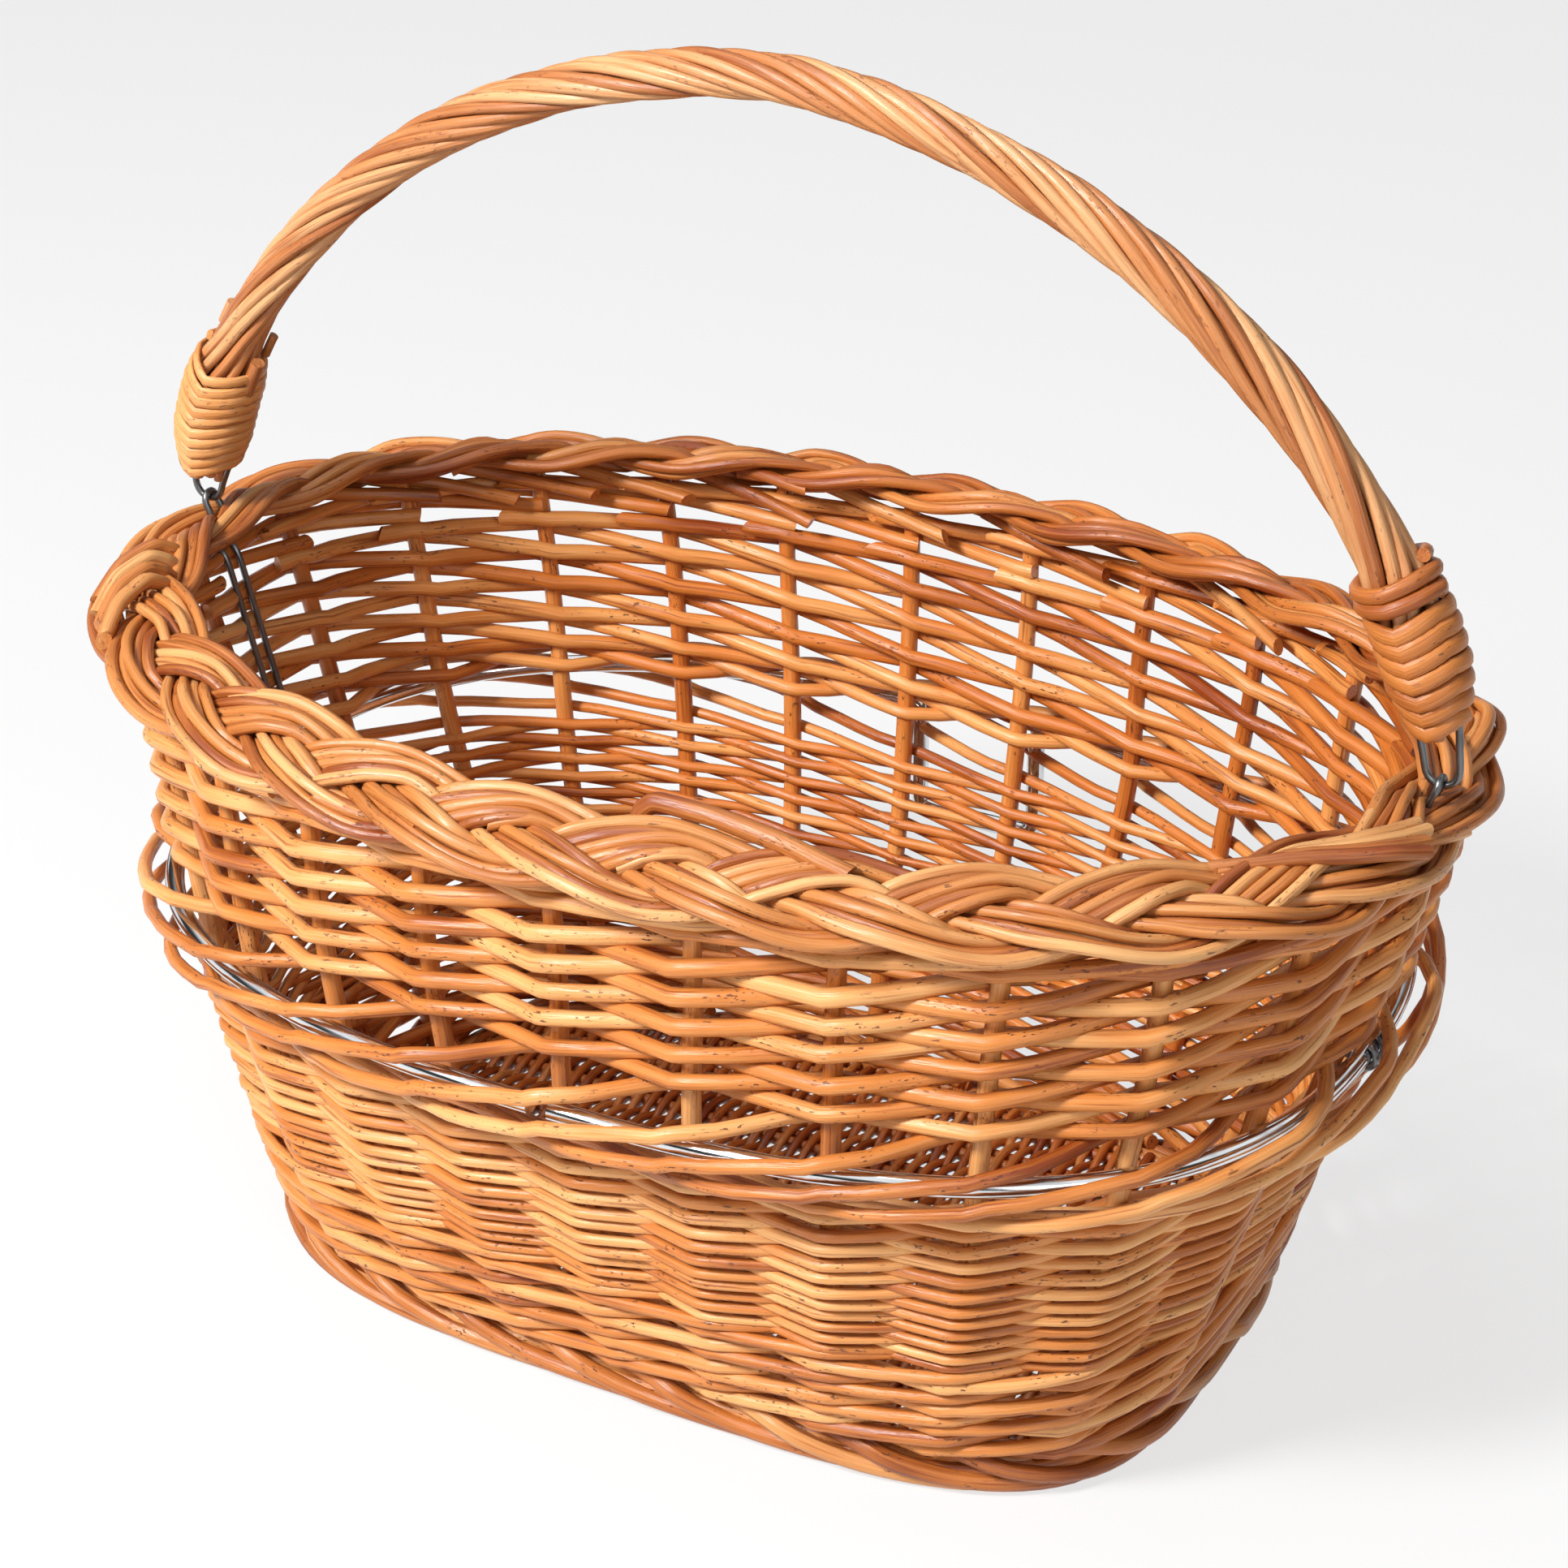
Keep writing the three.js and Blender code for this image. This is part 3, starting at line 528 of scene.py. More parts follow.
# %% Stakes
stake_heights = np.linspace(8, 185, 24)
for stake in range(STAKES):
    drift = wobble(len(stake_heights), 0.0009, 8)
    line, _ = on_wall(stake_share(stake) + drift, stake_heights)
    radii = np.interp(stake_heights, [8, 185], [2.95, 2.5]) + wobble(len(stake_heights), 0.05, 4)
    piece = make_rods(f"stake_rod_{stake + 1:02d}", [(line, radii)])
    finish_piece(piece, "basket", "willow", (WILLOW, CUT), f"stake_{stake + 1:02d}")

# %% [markdown]
# The wall is French randing: one rod starts inside each stake above the foot wale and climbs round the
# basket, in front of one stake and behind the next, all the way to the rim. Its thin tip is at the bottom
# and its butt at the top, so the rows grow coarser as they climb. At the ring each rod makes one long
# stroke up over the steel. Rods kink at the stakes and run straight between, so each pass has three
# stations close to its stake and three on the way.

# %% Rods that pass stakes
BESIDE = 0.065
STATIONS = (-BESIDE, 0, BESIDE, 0.3, 0.5, 0.7)


def smoothstep(value):
    value = np.clip(value, 0, 1)
    return value * value * (3 - 2 * value)


def settled(share, level):
    """At the back the rows lie closer to the ring than at the front."""
    back = 0.5 + 0.5 * np.sin(2 * math.pi * share)
    above = smoothstep((level - 118) / 10) * (1 - smoothstep((level - 132) / 42))
    below = smoothstep((level - 60) / 40) * (1 - smoothstep((level - 106) / 10))
    return level + back * (3 * below - 8 * above)


def passing(first, last, start_stake, height, side, radius, extra=None, beyond=0.3):
    """One rod that passes stakes first to last after its own: middle line, radii, and way out at its end."""
    passes = np.arange(first, last + 1)
    along = (passes[:, None] + np.array(STATIONS)).ravel()
    along = np.append(along[along <= last + beyond], last + beyond)
    level = np.interp(along, passes, [height(step) for step in passes])
    level[along > last] += 1.5 * (along[along > last] - last)
    level = smoothed(level, 2) + wobble(len(along), 0.3, 14)
    share = stake_share(start_stake + along)
    level = settled(share, level)
    thick = np.interp(along, passes, [radius(step) for step in passes])
    thick = thick * rng.uniform(0.95, 1.05) + wobble(len(along), 0.06, 12)
    knots = (passes[:, None] + np.array([-BESIDE, 0, BESIDE])).ravel()
    sides = np.repeat([side(step) for step in passes], 3) * np.tile([0.97, 1, 0.97], len(passes))
    reach = np.interp(along, knots, sides) * (stake_radius(level) + thick)
    back = 0.5 + 0.5 * np.sin(2 * math.pi * share)
    reach *= np.where(reach < 0, 0.86 - 0.26 * back, 1 - 0.24 * back)
    if extra is not None:
        reach = extra(along, share, level, thick, reach)
    reach += wobble(len(along), 0.2, 9)
    line, out = on_wall(share, level, reach)
    return line, thick, out[-1]


print("stations of one pass, in stake gaps:", STATIONS)

# %% [markdown]
# The heights below were read off the photograph. The ring stroke needs a reach of its own: it stays
# outside four stakes in a row, swells out until the rod clears the steel, and falls back above it. At
# both ends of the basket the rods stand off still more, in loops.

# %% Heights and reaches of a wall rod
RING_ROD, RING_STAND_OFF = 2.75, 6.2
RING_HALF = (BELLY[0] + stake_radius(RING_HEIGHT) + CLEARANCE + RING_ROD,
             BELLY[1] + stake_radius(RING_HEIGHT) + CLEARANCE + RING_ROD + RING_STAND_OFF)
RING_OVAL, RING_LENGTH = oval_table(*RING_HALF, 2.48)
STROKE_FIRST, STROKE_LAST, LAST_PASS = 23, 26, 37
STROKE_HEIGHTS = {24: 105.0, 25: 112.0, 26: 121.5, 27: 126.5}
ROW_AFTER_STROKE, STEP_AFTER_STROKE = 131.0, 4.28


def wall_height(step):
    if step <= STROKE_FIRST:
        climbed = step + 1
        return 44.6 + 1.86 * climbed + 0.0216 * climbed ** 2
    return STROKE_HEIGHTS.get(step, ROW_AFTER_STROKE + STEP_AFTER_STROKE * (step - 28))


def wall_side(step):
    if STROKE_FIRST <= step <= STROKE_LAST:
        return 1
    return 1 if (step % 2 == 1) == (step < STROKE_FIRST) else -1


def wall_radius(step):
    return np.interp(step, [-1, 23, 25, 28, LAST_PASS], [1.3, 1.75, 2.0, 2.2, 2.5])


def ring_gap(share, height):
    """How far the ring stands outside the stakes at a height near it."""
    on_ring, out = place(RING_OVAL, share, 0.0, RING_HEIGHT)
    at_stakes, _ = on_wall(share, height)
    return ((on_ring - at_stakes)[..., :2] * out[..., :2]).sum(-1)


def over_ring(along, share, level, thick, reach):
    """Lifts the ring stroke clear of the steel."""
    swell = smoothstep((along - 23.1) / 1.6) * smoothstep((26.95 - along) / 1.1)
    clear = RING_ROD + thick + CLEARANCE
    bulge = rng.uniform(3, 7) * np.cos(2 * math.pi * share) ** 4
    outside = ring_gap(share, level) + clear + bulge
    return reach + swell * (outside - reach)


print("height of a wall rod at every sixth stake:", [round(wall_height(step), 1) for step in range(0, 38, 6)])

# %% Woven wall
wall_rods, ways_in = [], []
for stake in range(STAKES):
    line, thick, out = passing(0, LAST_PASS, stake + rng.normal(0, 0.012), wall_height, wall_side,
                               wall_radius, over_ring, rng.uniform(0.16, 0.34))
    wall_rods.append((line, thick))
    ways_in.append(-out)
wall = make_rods("woven_wall", wall_rods, slant=1.3, away_from=ways_in)
finish_piece(wall, "basket", "willow", (WILLOW, CUT), "lower_siding", "ring_wale", "upper_siding")

# %% [markdown]
# Waling is stronger than randing: each rod goes in front of two stakes and behind one, and lies tight on
# the rod before it. A wale of twenty-five rods binds the foot, and a low one closes the wall under the
# plait. Their ends hide behind a stake.

# %% Wales at the foot and the rim
def wale(name, first_height, passes, rod_radius, row):
    rods = []
    for stake in range(STAKES):
        rods.append(passing(
            0, passes, stake + rng.normal(0, 0.015),
            lambda step: first_height + row * 2 * (step // 3) + (0, 0.5, 1.5)[step % 3] * row,
            lambda step: 1 if step % 3 else -1,
            lambda step: rod_radius * (1.06 - 0.02 * step),
        )[:2])
    return make_rods(name, rods)


foot_wale = wale("foot_wale", 13.2, 12, 2.05, 4.35)
finish_piece(foot_wale, "basket", "willow", (WILLOW, CUT), "bottom_wale")
rim_wale = wale("rim_wale", 173.4, 3, 2.15, 3.6)
finish_piece(rim_wale, "basket", "willow", (WILLOW, CUT), "top_wale")

# %% [markdown]
# The stakes' own rods are rolled into the foot: each comes out under the wale, turns down over the
# outside, and tucks in beneath, so the basket stands on a rope of short slanting strokes. A few thick
# rods run inside the roll and fill it.

# %% Foot roll
FOOT_OVAL = oval_table(*FOOT)[0]
ROLL_HEIGHT, ROLL_RADIUS, ROLL_ROD, FILL_RADIUS, FILL_ROD = 6.9, 4.3, 2.5, 1.7, 2.0
roll_rods = []
for stake in range(STAKES):
    along = np.linspace(-0.15, 3.5, 26)
    turned = np.radians(np.interp(along, [-0.15, 0, 0.6, 1.2, 2.5, 3.5], [95, 82, 24, -36, -78, -130]))
    turned = smoothed(turned, 3)
    share = stake_share(stake + along + rng.normal(0, 0.03))
    rod = ROLL_ROD * rng.uniform(0.92, 1.1)
    knee = rng.uniform(1.8, 3.4) * np.exp(-((along - rng.uniform(0.25, 0.5)) / 0.3) ** 2)
    around = ROLL_RADIUS + rng.normal(0, 0.15) - 0.3 * (turned < -1.2) + knee
    rise = np.maximum(ROLL_HEIGHT + around * np.sin(turned), rod + 0.05)
    line, _ = place(FOOT_OVAL, share, around * np.cos(turned), rise)
    roll_rods.append((line, rod))
for fill in range(3):
    share = np.linspace(0, 1, 121) + fill / 3
    angle = 2 * math.pi * (fill / 3 + 3 * share)
    line, _ = place(FOOT_OVAL, share, FILL_RADIUS * np.cos(angle), ROLL_HEIGHT + FILL_RADIUS * np.sin(angle))
    roll_rods.append((line, FILL_ROD))
foot_roll = make_rods("foot_roll", roll_rods)
finish_piece(foot_roll, "basket", "willow_dark", (WILLOW_DARK, CUT), "foot_border")

# %% [markdown]
# Inside the roll lies the base: pairs of thick sticks lengthwise, and thin rods woven across them. Each
# cross rod goes over one pair and under the next, and its neighbour does the opposite.

# %% Base mat
MAT_HEIGHT, MAT_INSET, STICK_RADIUS, CROSS_RADIUS, CROSS_SWING = 7.0, 2.6, 2.0, 1.35, 2.6
quarter = slice(0, SHARES // 4 + 1)
edge_x, edge_y = (FOOT_OVAL[:2] - FOOT_OVAL[2:] * MAT_INSET)[:, quarter]
mat_rods = []
stick_rows = np.linspace(-76, 76, 9)
for row in stick_rows:
    half = np.interp(abs(row), edge_y, edge_x)
    for beside in (-1.05, 1.05):
        x = np.linspace(-half, half, 40)
        line = np.stack([x, np.full(40, row + beside * STICK_RADIUS), np.full(40, MAT_HEIGHT)], axis=1)
        line[:, 2] += wobble(40, 0.2, 8)
        mat_rods.append((line, STICK_RADIUS))
cross_places = np.arange(-128.8, 128.9, 2.3)
for number, x in enumerate(cross_places):
    half = np.interp(-abs(x), -edge_x, edge_y) - 1
    y = np.linspace(-half, half, 56)
    rows_passed = (y - stick_rows[0]) / (stick_rows[1] - stick_rows[0])
    swing = math.cos(math.pi * number) * np.cos(math.pi * rows_passed)
    height = MAT_HEIGHT + CROSS_SWING * np.sign(swing) * abs(swing) ** 0.8
    line = np.stack([x + wobble(56, 0.25, 10), y, height], axis=1)
    mat_rods.append((line, CROSS_RADIUS))
base = make_rods("base_weave", mat_rods, sides=8)
finish_piece(base, "basket", "willow_dark", (WILLOW_DARK, CUT), "base_mat")

# %% [markdown]
# The rim is a plait of three strands, and each strand is five rods side by side. Drawn as ribbons they
# would cut through each other where they cross, so the rods start on the strands' waves and are then
# pushed apart a few dozen times, as the maker's hands would press them. At the right end the plait is
# drawn in, and loose rods end there, at the left, at the front and under the back of the border.

# %% Waves of the plait
BORDER_HEIGHT = 189.3
BORDER_OVAL = oval_table(RIM[0] + 2, RIM[1] + 2, 2.15)[0]
STRANDS, RODS_PER_STRAND, WAVES, PLAIT_STATIONS = 3, 5, 8, 384
PLAIT_SWING, PLAIT_LIFT, PLAIT_TILT, PLAIT_ROD = 10.5, 3.8, math.radians(16), 1.8


def at_right_end(share):
    """1 at the right end of the basket, where the plait ends and is drawn in, falling to 0 beside it."""
    away = abs((np.asarray(share) + 0.5) % 1 - 0.5)
    return smoothstep(1 - away / 0.07)


def plait_frame(share):
    """The border's middle line, and the directions across it and up from it."""
    middle, out = place(BORDER_OVAL, share, 0.0, BORDER_HEIGHT)
    up = np.array([0, 0, 1.0])
    drawn_in = at_right_end(share)[:, None]
    tilt = PLAIT_TILT + math.radians(14) * drawn_in
    across = out * np.cos(tilt) - up * np.sin(tilt)
    normal = up * np.cos(tilt) + out * np.sin(tilt)
    return middle - (3.5 * out + 1.5 * up) * drawn_in, across, normal


def plait_lines():
    share = np.arange(PLAIT_STATIONS) / PLAIT_STATIONS
    middle, across, normal = plait_frame(share)
    lines, sizes = [], []
    for strand in range(STRANDS):
        wave = 2 * math.pi * (WAVES * share + strand / STRANDS - 0.25)
        for rod in range(RODS_PER_STRAND):
            beside = (rod - (RODS_PER_STRAND - 1) / 2) * 1.95 * PLAIT_ROD
            lag = wave - 0.08 * (rod - (RODS_PER_STRAND - 1) / 2)
            swing = PLAIT_SWING * np.arcsin(0.93 * np.sin(lag)) / math.asin(0.93)
            swing += beside * (0.55 + 0.45 * np.cos(wave) ** 2)
            swing *= 1 - 0.3 * at_right_end(share)
            lift = PLAIT_LIFT * np.sin(2 * lag) + rng.normal(0, 0.2)
            lines.append(middle + across * swing[:, None] + normal * lift[:, None])
            sizes.append(PLAIT_ROD * rng.uniform(0.9, 1.1))
    return np.array(lines), np.array(sizes)


# %% Pushing the rods apart
def pushed_apart(lines, sizes, rounds=60, near=7):
    """Rods that overlap move apart, and each is kept smooth along its length."""
    count = len(lines)
    for _ in range(rounds):
        push = np.zeros_like(lines)
        for first in range(count):
            for second in range(first + 1, count):
                wanted = (sizes[first] + sizes[second]) * 0.99
                for shift in range(-near, near + 1):
                    other = np.roll(lines[second], shift, axis=0)
                    apart = lines[first] - other
                    distance = np.linalg.norm(apart, axis=1, keepdims=True) + 1e-6
                    overlap = np.maximum(wanted - distance, 0)
                    move = apart / distance * overlap * 0.22
                    push[first] += move
                    push[second] -= np.roll(move, -shift, axis=0)
        lines = lines + np.clip(push, -0.8, 0.8)
        lines = 0.12 * np.roll(lines, 1, axis=1) + 0.76 * lines + 0.12 * np.roll(lines, -1, axis=1)
    return lines


plait, plait_sizes = plait_lines()
plait = pushed_apart(plait, plait_sizes)
print("plait:", len(plait), "lines of", PLAIT_STATIONS, "stations")

# %% Plait and loose rods
RODS_PER_LINE, OVERLAP, DIVE = 3, 10, 9
plait_rods = []
for line, size in zip(plait, plait_sizes):
    first = int(rng.integers(0, PLAIT_STATIONS))
    for part in range(RODS_PER_LINE):
        length = PLAIT_STATIONS // RODS_PER_LINE + OVERLAP
        step = np.arange(length)
        run = line[(first + part * PLAIT_STATIONS // RODS_PER_LINE + step) % PLAIT_STATIONS]
        dive = np.clip(1 - np.minimum(step, length - 1 - step) / DIVE, 0, 1)
        run[:, 2] -= 0.96 * size * dive ** 2
        plait_rods.append((run, size * np.linspace(1.06, 0.86, length) + wobble(length, 0.05, 15)))


def border_rod(radius, *corners):
    """A single rod near the border from a few places: share, height and reach outside its middle line."""
    shares, heights, reaches = np.array(corners).T
    even = np.linspace(0, len(corners) - 1, 8 * len(corners))
    share, height, reach = (smoothed(np.interp(even, range(len(corners)), axis), 4)
                            for axis in (shares, heights, reaches))
    line, _ = place(BORDER_OVAL, share, reach, height)
    return line, radius + wobble(len(line), 0.06, 8)


for beside in range(4):
    plait_rods.append(border_rod(
        2.0, (0.925, 190 + beside, -9 - beside), (0.945, 196, -7.5 + beside),
        (0.965, 196, -3 + 3.2 * beside), (0.986 - 0.004 * beside, 193.5, 3.2 * beside)))
plait_rods.append(border_rod(2.6, (0.769, 187, -13), (0.770, 196, -15), (0.774, 199.4, -15.5),
                             (0.792, 199.2, -14), (0.812, 197.5, -10), (0.83, 193.5, -6)))
for bent in range(4):
    share = 0.535 + 0.008 * bent
    plait_rods.append(border_rod(2.2, (share - 0.012, 184, -9), (share, 195, -7), (share + 0.004, 198.5, -2),
                                 (share + 0.012, 196, 6), (share + 0.022, 190, 12)))
for share in (0.18, 0.245, 0.30, 0.345, 0.385, 0.415, 0.44, 0.465, 0.60):
    plait_rods.append(border_rod(2.1, (share, 187, -2), (share - 0.02, 183, -5),
                                 (share - 0.045, 179 + rng.uniform(-3, 2), -9)))
border = make_rods("plaited_border", plait_rods, slant=0.9)
finish_piece(border, "basket", "willow_pale", (WILLOW_PALE, CUT),
             "border_strand_1", "border_strand_2", "border_strand_3")

# %% [markdown]
# The handle is a rope of ten rods laid round a core, thinner at the left than at the right. Every rod
# follows the arch and turns once in about thirteen centimetres, and faster at the top. Pale stubs of cut
# rods show above and under the bindings.

# %% The handle's arch
PIVOT_X, PIVOT_HEIGHT, HANDLE_RISE = 188.9, 197.0, 154.4
HANDLE_SQUARENESS, HANDLE_LAY, HANDLE_TIGHTER, HANDLE_END = 1.81, 135.0, 0.13, 10.0
arch_turn = np.linspace(math.pi, 0, 2001)
arch_radius = (abs(np.cos(arch_turn) / PIVOT_X) ** HANDLE_SQUARENESS
               + abs(np.sin(arch_turn) / HANDLE_RISE) ** HANDLE_SQUARENESS) ** (-1 / HANDLE_SQUARENESS)
ARCH = np.stack([arch_radius * np.cos(arch_turn), PIVOT_HEIGHT + arch_radius * np.sin(arch_turn)])
ARCH_WALK = np.concatenate([[0], np.cumsum(np.hypot(*np.diff(ARCH, axis=1)))])
ARCH_LENGTH = ARCH_WALK[-1]
FRONTWARD = np.array([0, -1.0, 0])


def on_arch(distance):
    """Point on the handle's middle line and its outward direction, by distance from the left eye."""
    distance = np.asarray(distance, dtype=float)
    at = np.stack([np.interp(distance, ARCH_WALK, axis) for axis in ARCH], axis=-1)
    ahead = np.stack([np.interp(distance + 1, ARCH_WALK, axis) for axis in ARCH], axis=-1)
    behind = np.stack([np.interp(distance - 1, ARCH_WALK, axis) for axis in ARCH], axis=-1)
    along = ahead - behind
    along /= np.linalg.norm(along, axis=-1, keepdims=True)
    flat = np.zeros(distance.shape)
    point = np.stack([at[..., 0], flat, at[..., 1]], axis=-1)
    out = np.stack([-along[..., 1], flat, along[..., 0]], axis=-1)
    return point, out


def rope_radius(distance):
    """Radius of the free rope at a distance from the left eye."""
    share = np.asarray(distance, dtype=float) / ARCH_LENGTH
    return 6.5 + np.where(share < 0.5, 0.3, 1.8) * abs(2 * share - 1)


def bundle_radius(distance):
    """The rope swells inside its bindings, where wire and packing lie, and narrows at the very end."""
    distance = np.asarray(distance, dtype=float)
    from_end = np.minimum(distance, ARCH_LENGTH - distance)
    right = distance > ARCH_LENGTH / 2
    swell = np.where(right, 1.6, 3.2) * smoothstep((60 + 6 * right - from_end) / 22)
    narrow = 3.6 * smoothstep((26 + 8 * right - from_end) / 20)
    return rope_radius(distance) + swell - narrow


def round_arch(distance, angle, radius):
    """Points round the handle: angle 0 is its outer side, 90 degrees its front."""
    middle, outward = on_arch(distance)
    return (middle + outward * (radius * np.cos(angle))[..., None]
            + FRONTWARD * (radius * np.sin(angle))[..., None])


print("length of the arch in millimetres:", round(ARCH_LENGTH, 1))

# %% Handle rods
HANDLE_RODS = 10
distance = np.linspace(HANDLE_END, ARCH_LENGTH - HANDLE_END - 8, 240)
rope, bundle = rope_radius(distance), bundle_radius(distance)
half_rod = math.sin(math.pi / HANDLE_RODS)
rod_radius = np.minimum(rope, bundle) * half_rod / (1 + half_rod) * 1.07
handle_rods = [(on_arch(distance)[0], np.minimum(rope, bundle) * 0.55)]
tighter = np.sin(2 * math.pi * distance / ARCH_LENGTH) * HANDLE_TIGHTER
for rod in range(HANDLE_RODS):
    cut_left, cut_right = rng.integers(0, 3), rng.integers(0, 3)
    turned = 2 * math.pi * (rod / HANDLE_RODS + distance / HANDLE_LAY - tighter)
    turned += wobble(len(distance), 0.07, 30)
    ring = bundle - rod_radius + wobble(len(distance), 0.22, 20)
    radii = rod_radius * rng.uniform(0.86, 1.12) + wobble(len(distance), 0.05, 12)
    keep = slice(int(cut_left), len(distance) - int(cut_right))
    handle_rods.append((round_arch(distance, turned, ring)[keep], radii[keep]))
STUBS = ((54, 165, 9.4, 38, 2.0), (61, -20, 8.6, 54, 1.6), (60, 215, 8.4, 52, 1.3))
for tip, degrees, radius, root, thick in STUBS:
    along = np.linspace(root, tip, 8)
    handle_rods.append((round_arch(along, np.radians(degrees), np.full(8, radius)), thick))
for degrees in range(20, 360, 48):
    for near_end in (0, ARCH_LENGTH):
        inwards = 1 if near_end == 0 else -1
        along = near_end + inwards * (np.linspace(22, rng.uniform(6, 10), 6) + 7 * (near_end > 0))
        turned = np.radians(degrees + 8 * np.arange(6) / 5)
        handle_rods.append((round_arch(along, turned, np.full(6, 4.0)), 1.6))
handle = make_rods("handle_rope", handle_rods, slant=0.25)
finish_piece(handle, "handle", "willow", (WILLOW_ROPE, CUT), "handle")

# %% [markdown]
# Split skein, flat on its inside, binds each end of the handle over the legs of the wire eye. A round
# section squashed toward the handle gives it. A packing rod under the front makes every turn bend there
# in a shallow V. The right end has broader skein and two turns of round rod above it.

# %% Skein bindings
WIRE = 1.0
RIDGE, RIDGE_WIDTH = math.pi / 2, math.radians(60)
SKEIN_FORM = {"dip": 3.0, "ridge": 0.9, "stand_off": 0.9, "thickness": 0.5}
CORD_FORM = {"dip": 1.0, "ridge": 0.2, "stand_off": 1.47, "thickness": 0.9}


def wound(right, turns, pitch, lift, form):
    """A winding's middle line and its outward directions, from the end of the handle up."""
    turn = np.arange(0, turns * 24 + 1) / 24
    angle = 2 * math.pi * turn
    off_ridge = abs((angle - RIDGE + math.pi) % (2 * math.pi) - math.pi)
    fold = np.clip(1 - off_ridge / RIDGE_WIDTH, 0, 1)
    from_end = lift + pitch * turn - form["dip"] * fold + wobble(len(turn), 0.2, 11)
    distance = ARCH_LENGTH - from_end if right else from_end
    radius = bundle_radius(distance) + form["stand_off"] + form["ridge"] * fold ** 2
    line = round_arch(distance, angle, radius)
    outward = line - on_arch(distance)[0]
    return line, outward / np.linalg.norm(outward, axis=1, keepdims=True)


def binding(name, right, *windings):
    """A binding of windings, each with its form, turns, pitch, lift above the end, and half width."""
    rods, flat = [], []
    for form, turns, pitch, lift, half_width in windings:
        line, outward = wound(right, turns, pitch, lift, form)
        rods.append((line, half_width + wobble(len(line), 0.1, 12)))
        flat.append((outward, form["thickness"]))
    piece = make_rods(name, rods, flat=flat)
    side = "right" if right else "left"
    finish_piece(piece, "handle", "willow_skein", (SKEIN, CUT), f"handle_binding_{side}")


binding("skein_left", False, (SKEIN_FORM, 10, 3.6, 13.5, 1.7))
binding("skein_right", True, (SKEIN_FORM, 7, 4.5, 19.5, 2.35), (CORD_FORM, 2, 4.0, 51.5, 2.1))

# %% [markdown]
# Each handle end hangs on a wire eye, bound in with its two legs, and the eye swings in a long wire link
# that runs down inside the wall and hooks under the ring. The routes are the frame's own, except that
# inside the wall the link's wires lie a little farther out, between the rods that hold them.

# %% Wire eyes
LINK_HALF, EYE_HALF, EYE_LEGS = 2.7, 4.6, 40


def rounded(corners, spacing=1.0, rounds=6):
    """An evenly stepped line through the corners, with its bends eased."""
    corners = np.array(corners, dtype=float)
    walked = np.concatenate([[0], np.cumsum(np.linalg.norm(np.diff(corners, axis=0), axis=1))])
    even = np.linspace(0, walked[-1], int(walked[-1] / spacing) + 2)
    return smoothed(np.stack([np.interp(even, walked, axis) for axis in corners.T], axis=1), rounds)


def wire_eye(name, right):
    sign = 1 if right else -1
    corners = []
    for face in (1, -1):
        legs = []
        for share in (1, 0.8, 0.6, 0.4, 0.2):
            from_end = HANDLE_END + share * EYE_LEGS
            distance = ARCH_LENGTH - from_end if right else from_end
            middle, outward = on_arch(distance)
            legs.append(middle + outward * face * (bundle_radius(distance) - WIRE))
        corners.append(legs)
    first_out = on_arch(ARCH_LENGTH if right else 0)[1][0]
    bend = []
    for step in range(13):
        angle = math.pi * step / 12
        sideways = EYE_HALF * math.cos(angle) * np.sign(first_out)
        bend.append((sign * PIVOT_X + sideways, 0, PIVOT_HEIGHT + EYE_HALF - EYE_HALF * math.sin(angle)))
    line = rounded([*corners[0], *bend, *corners[1][::-1]], 0.8, 4)
    piece = make_rods(name, [(line, WIRE)], slant=0.1)
    side = "right" if right else "left"
    finish_piece(piece, "handle", "steel_wire", (STEEL, STEEL), f"handle_eye_{side}")


wire_eye("eye_left", False)
wire_eye("eye_right", True)


# %% Wire links
def wire_link(name, right):
    sign = 1 if right else -1
    share = 0.0 if right else 0.5
    ring_x = RING_HALF[0]
    hook = RING_ROD + WIRE + CLEARANCE
    side_x, side_z = (-8, 3) if right else (-5, 7)
    route = [(ring_x + hook * math.cos(angle), RING_HEIGHT + hook * math.sin(angle))
             for angle in np.radians(range(60, -181, -30))]
    route.append((ring_x + side_x, RING_HEIGHT + side_z))
    for height in np.linspace(128.9, 178.0, 5):
        line, _ = on_wall(share, height)
        route.append((abs(line[0]) - 5.0, height))
    hole = RIM[0] + 2 - 13.2 / 4
    route += [((route[-1][0] + hole) / 2 - 1, 181.3), (hole - 1, 182.9), (hole, BORDER_HEIGHT),
              (hole, BORDER_HEIGHT + 3.9)]
    top = PIVOT_HEIGHT + 2 * WIRE + 0.5
    route.append((PIVOT_X, top - LINK_HALF))
    first = [(sign * x, LINK_HALF, z) for x, z in route]
    bend = [(sign * PIVOT_X, LINK_HALF * math.cos(angle), top - LINK_HALF + LINK_HALF * math.sin(angle))
            for angle in np.radians([30, 60, 90, 120, 150])]
    second = [(x, -y, z) for x, y, z in reversed(first)]
    line = rounded([*first, *bend, *second], 1.0, 3)
    piece = make_rods(name, [(line, WIRE)], slant=0.1)
    side = "right" if right else "left"
    finish_piece(piece, "basket", "steel_wire", (STEEL, STEEL), f"link_{side}")


wire_link("wire_link_left", False)
wire_link("wire_link_right", True)

# %% [markdown]
# The ring is one bright rod with its ends at the front. At the back it bends down, across and up again,
# which makes the bracket that hangs on the bicycle.

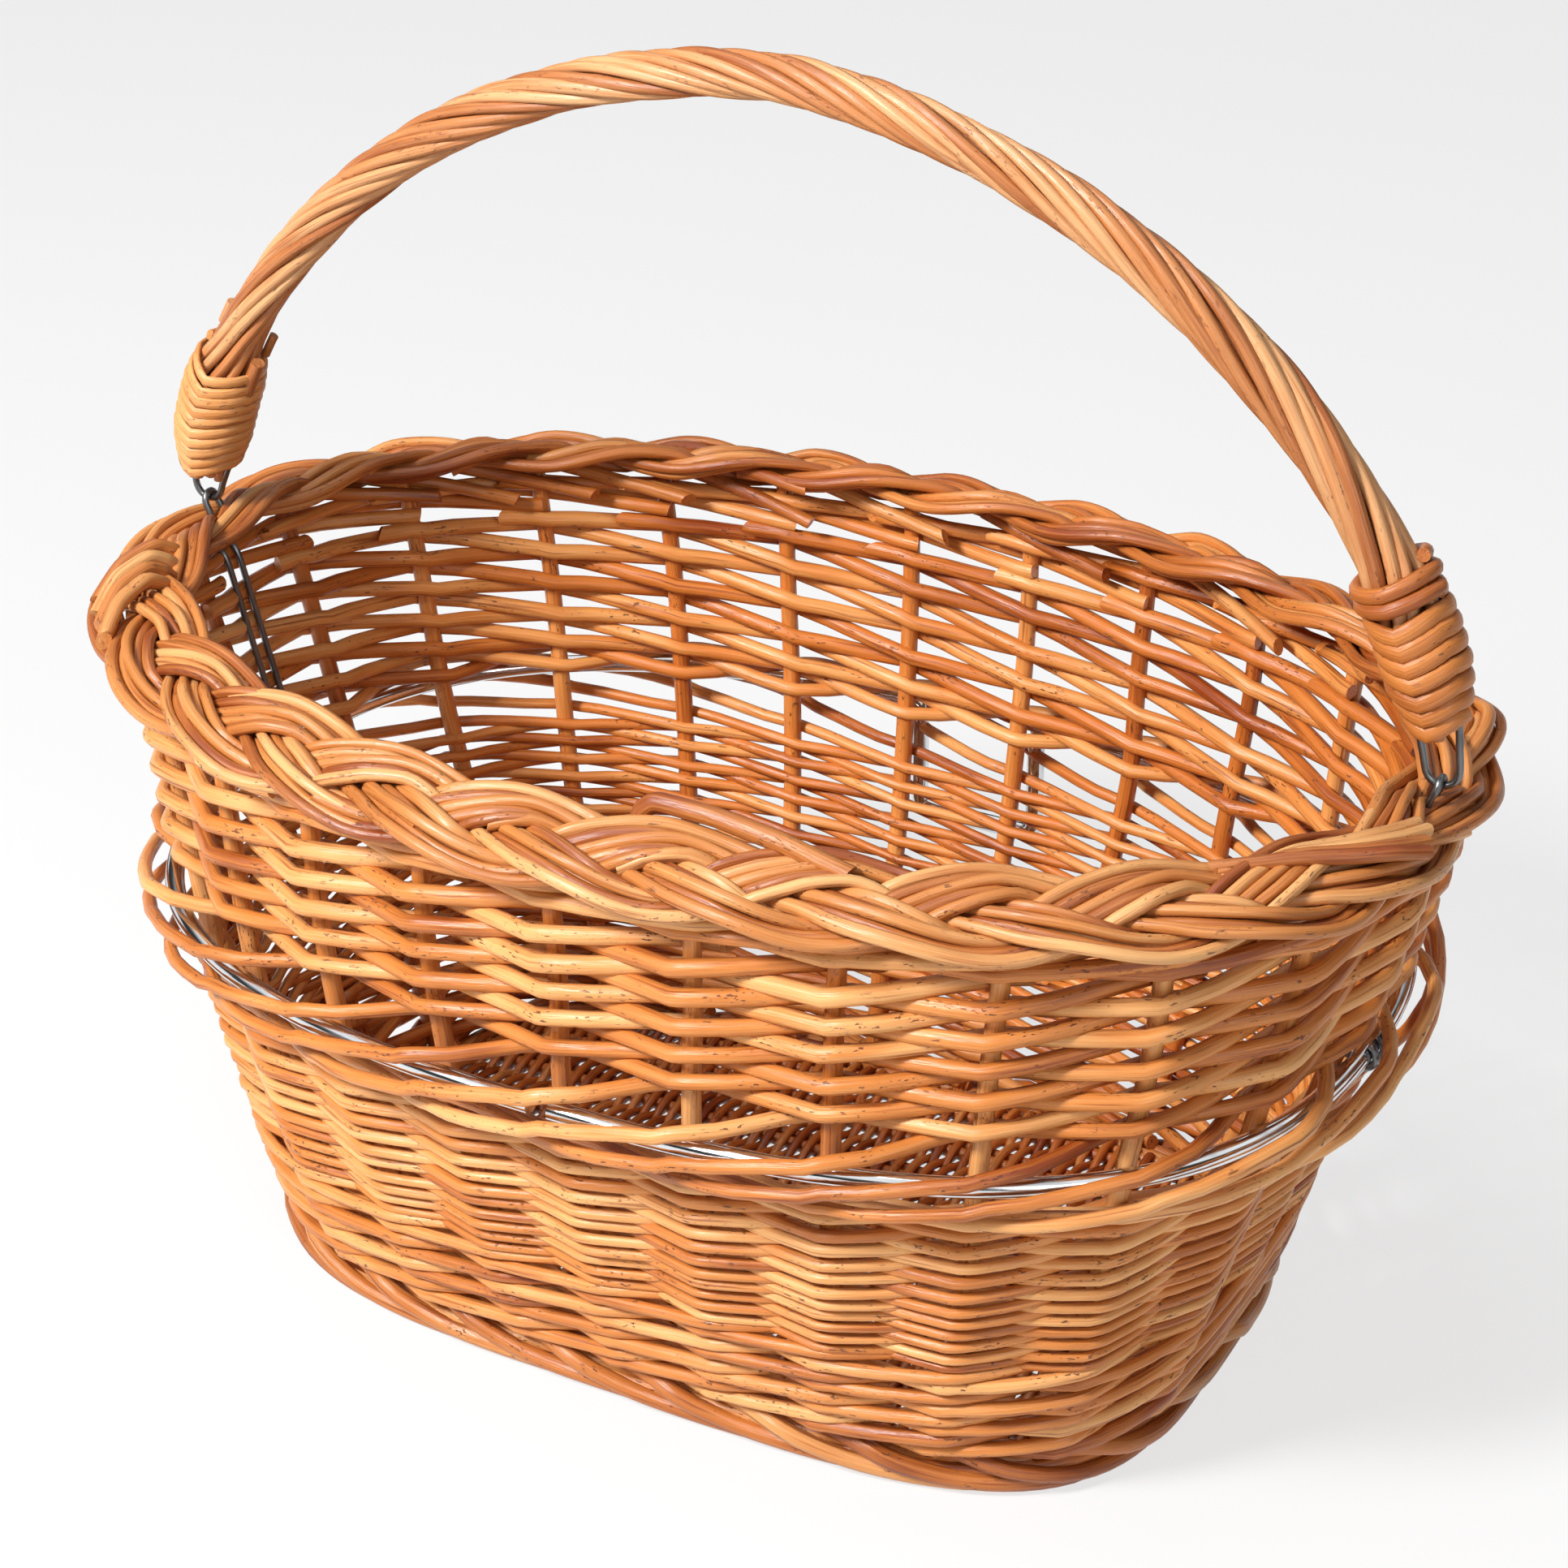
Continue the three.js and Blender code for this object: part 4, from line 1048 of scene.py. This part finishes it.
# %% Carrier ring
BRACKET_DROP = 36.0
back_stake = math.floor(STAKES / 4 - PHASE)
left, right = [(stake_share(leg) + 1 - FRONT) * RING_LENGTH for leg in (back_stake, back_stake + 1)]
route = rounded([
    (3.0, 0, 0), (left - 12, 0, 0), (left, 0, 0), (left, -BRACKET_DROP, 0), (right, -BRACKET_DROP, 0),
    (right, 0, 0), (right + 12, 0, 0), (RING_LENGTH - 3.0, 0, 0),
], 1.5, 9)
line, _ = place(RING_OVAL, FRONT + route[:, 0] / RING_LENGTH, 0.0, RING_HEIGHT + route[:, 1])
ring = make_rods("ring_rod", [(line, RING_ROD)], sides=14, slant=0.05)
finish_piece(ring, "basket", "ring_chrome", (CHROME, CHROME), "carrier_ring")

# %% [markdown]
# The stage is a pale floor under a white surround. The camera, and metal that mirrors, see them nearly
# white through the Light Path node, while the rods are lit by soft lamps at a plain level, and the
# floor still takes the basket's shadow.

# %% Floor
def seen_directly(tree):
    """A Light Path node, and 1 for the rays of the camera, of mirrors and of glass."""
    path = tree.nodes.new("ShaderNodeLightPath")
    mirrored = maths(tree, "MAXIMUM", path.outputs["Is Glossy Ray"], path.outputs["Is Transmission Ray"])
    return path, maths(tree, "MAXIMUM", path.outputs["Is Camera Ray"], mirrored)


floor_mesh = bpy.data.meshes.new("floor")
sheet = bmesh.new()
bmesh.ops.create_grid(sheet, x_segments=1, y_segments=1, size=6)
sheet.to_mesh(floor_mesh)
sheet.free()
floor = bpy.data.objects.new("floor", floor_mesh)
bpy.context.scene.collection.objects.link(floor)

FLOOR_GLOW = 0.72
floor_material, tree, shader = new_material("pale_floor", Base_Color=(0.8, 0.8, 0.8, 1), Roughness=0.9)
glow = tree.nodes.new("ShaderNodeEmission")
glow.inputs["Strength"].default_value = 1.0
mixed = tree.nodes.new("ShaderNodeMixShader")
tree.links.new(maths(tree, "MULTIPLY", seen_directly(tree)[1], FLOOR_GLOW), mixed.inputs["Fac"])
tree.links.new(shader.outputs["BSDF"], mixed.inputs[1])
tree.links.new(glow.outputs["Emission"], mixed.inputs[2])
tree.links.new(mixed.outputs["Shader"], tree.nodes["Material Output"].inputs["Surface"])
floor_mesh.materials.append(floor_material)
print("floor:", floor_material.name)

# %% [markdown]
# The world is white to the camera. Only mirrors see a dark band in it, low above the floor, which gives
# the chrome the dark stripes that a studio gives it. Three soft lamps do the rest.

# %% World and lamps
AMBIENT, DARK_BAND = 0.10, 0.96
world = bpy.data.worlds.new("studio")
world.use_nodes = True
bpy.context.scene.world = world
tree = world.node_tree
background = tree.nodes["Background"]
background.inputs["Color"].default_value = (1, 1, 1, 1)
path, direct = seen_directly(tree)
aloft = tree.nodes.new("ShaderNodeSeparateXYZ")
tree.links.new(tree.nodes.new("ShaderNodeTexCoord").outputs["Generated"], aloft.inputs[0])
low, high = ramp(tree, aloft.outputs[2], 0.02, 0.12), ramp(tree, aloft.outputs[2], 0.62, 0.42)
band = maths(tree, "MULTIPLY", maths(tree, "MULTIPLY", low, high), path.outputs["Is Glossy Ray"])
lifted = maths(tree, "SUBTRACT", maths(tree, "MULTIPLY_ADD", band, -DARK_BAND, 1.0), AMBIENT)
tree.links.new(maths(tree, "MULTIPLY_ADD", direct, lifted, AMBIENT), background.inputs["Strength"])


def lamp(name, azimuth, elevation, distance, size, power):
    """A square soft lamp that looks at the basket."""
    light = bpy.data.lights.new(name, "AREA")
    light.size = size
    light.energy = power
    lit = bpy.data.objects.new(name, light)
    bpy.context.scene.collection.objects.link(lit)
    turn, rise = math.radians(azimuth), math.radians(elevation)
    away = Vector((math.sin(turn) * math.cos(rise), -math.cos(turn) * math.cos(rise), math.sin(rise)))
    lit.location = Vector((0, 0, 0.15)) + away * distance
    lit.rotation_euler = (-away).to_track_quat("-Z", "Y").to_euler()


lamp("key", -28, 41, 1.8, 0.4, 46)
lamp("fill", 48, 26, 2.2, 0.9, 10)
lamp("top", -60, 80, 2.0, 1.0, 9)
bpy.context.scene.view_settings.view_transform = "Standard"
print("lamps:", sorted(item.name for item in bpy.data.lights))
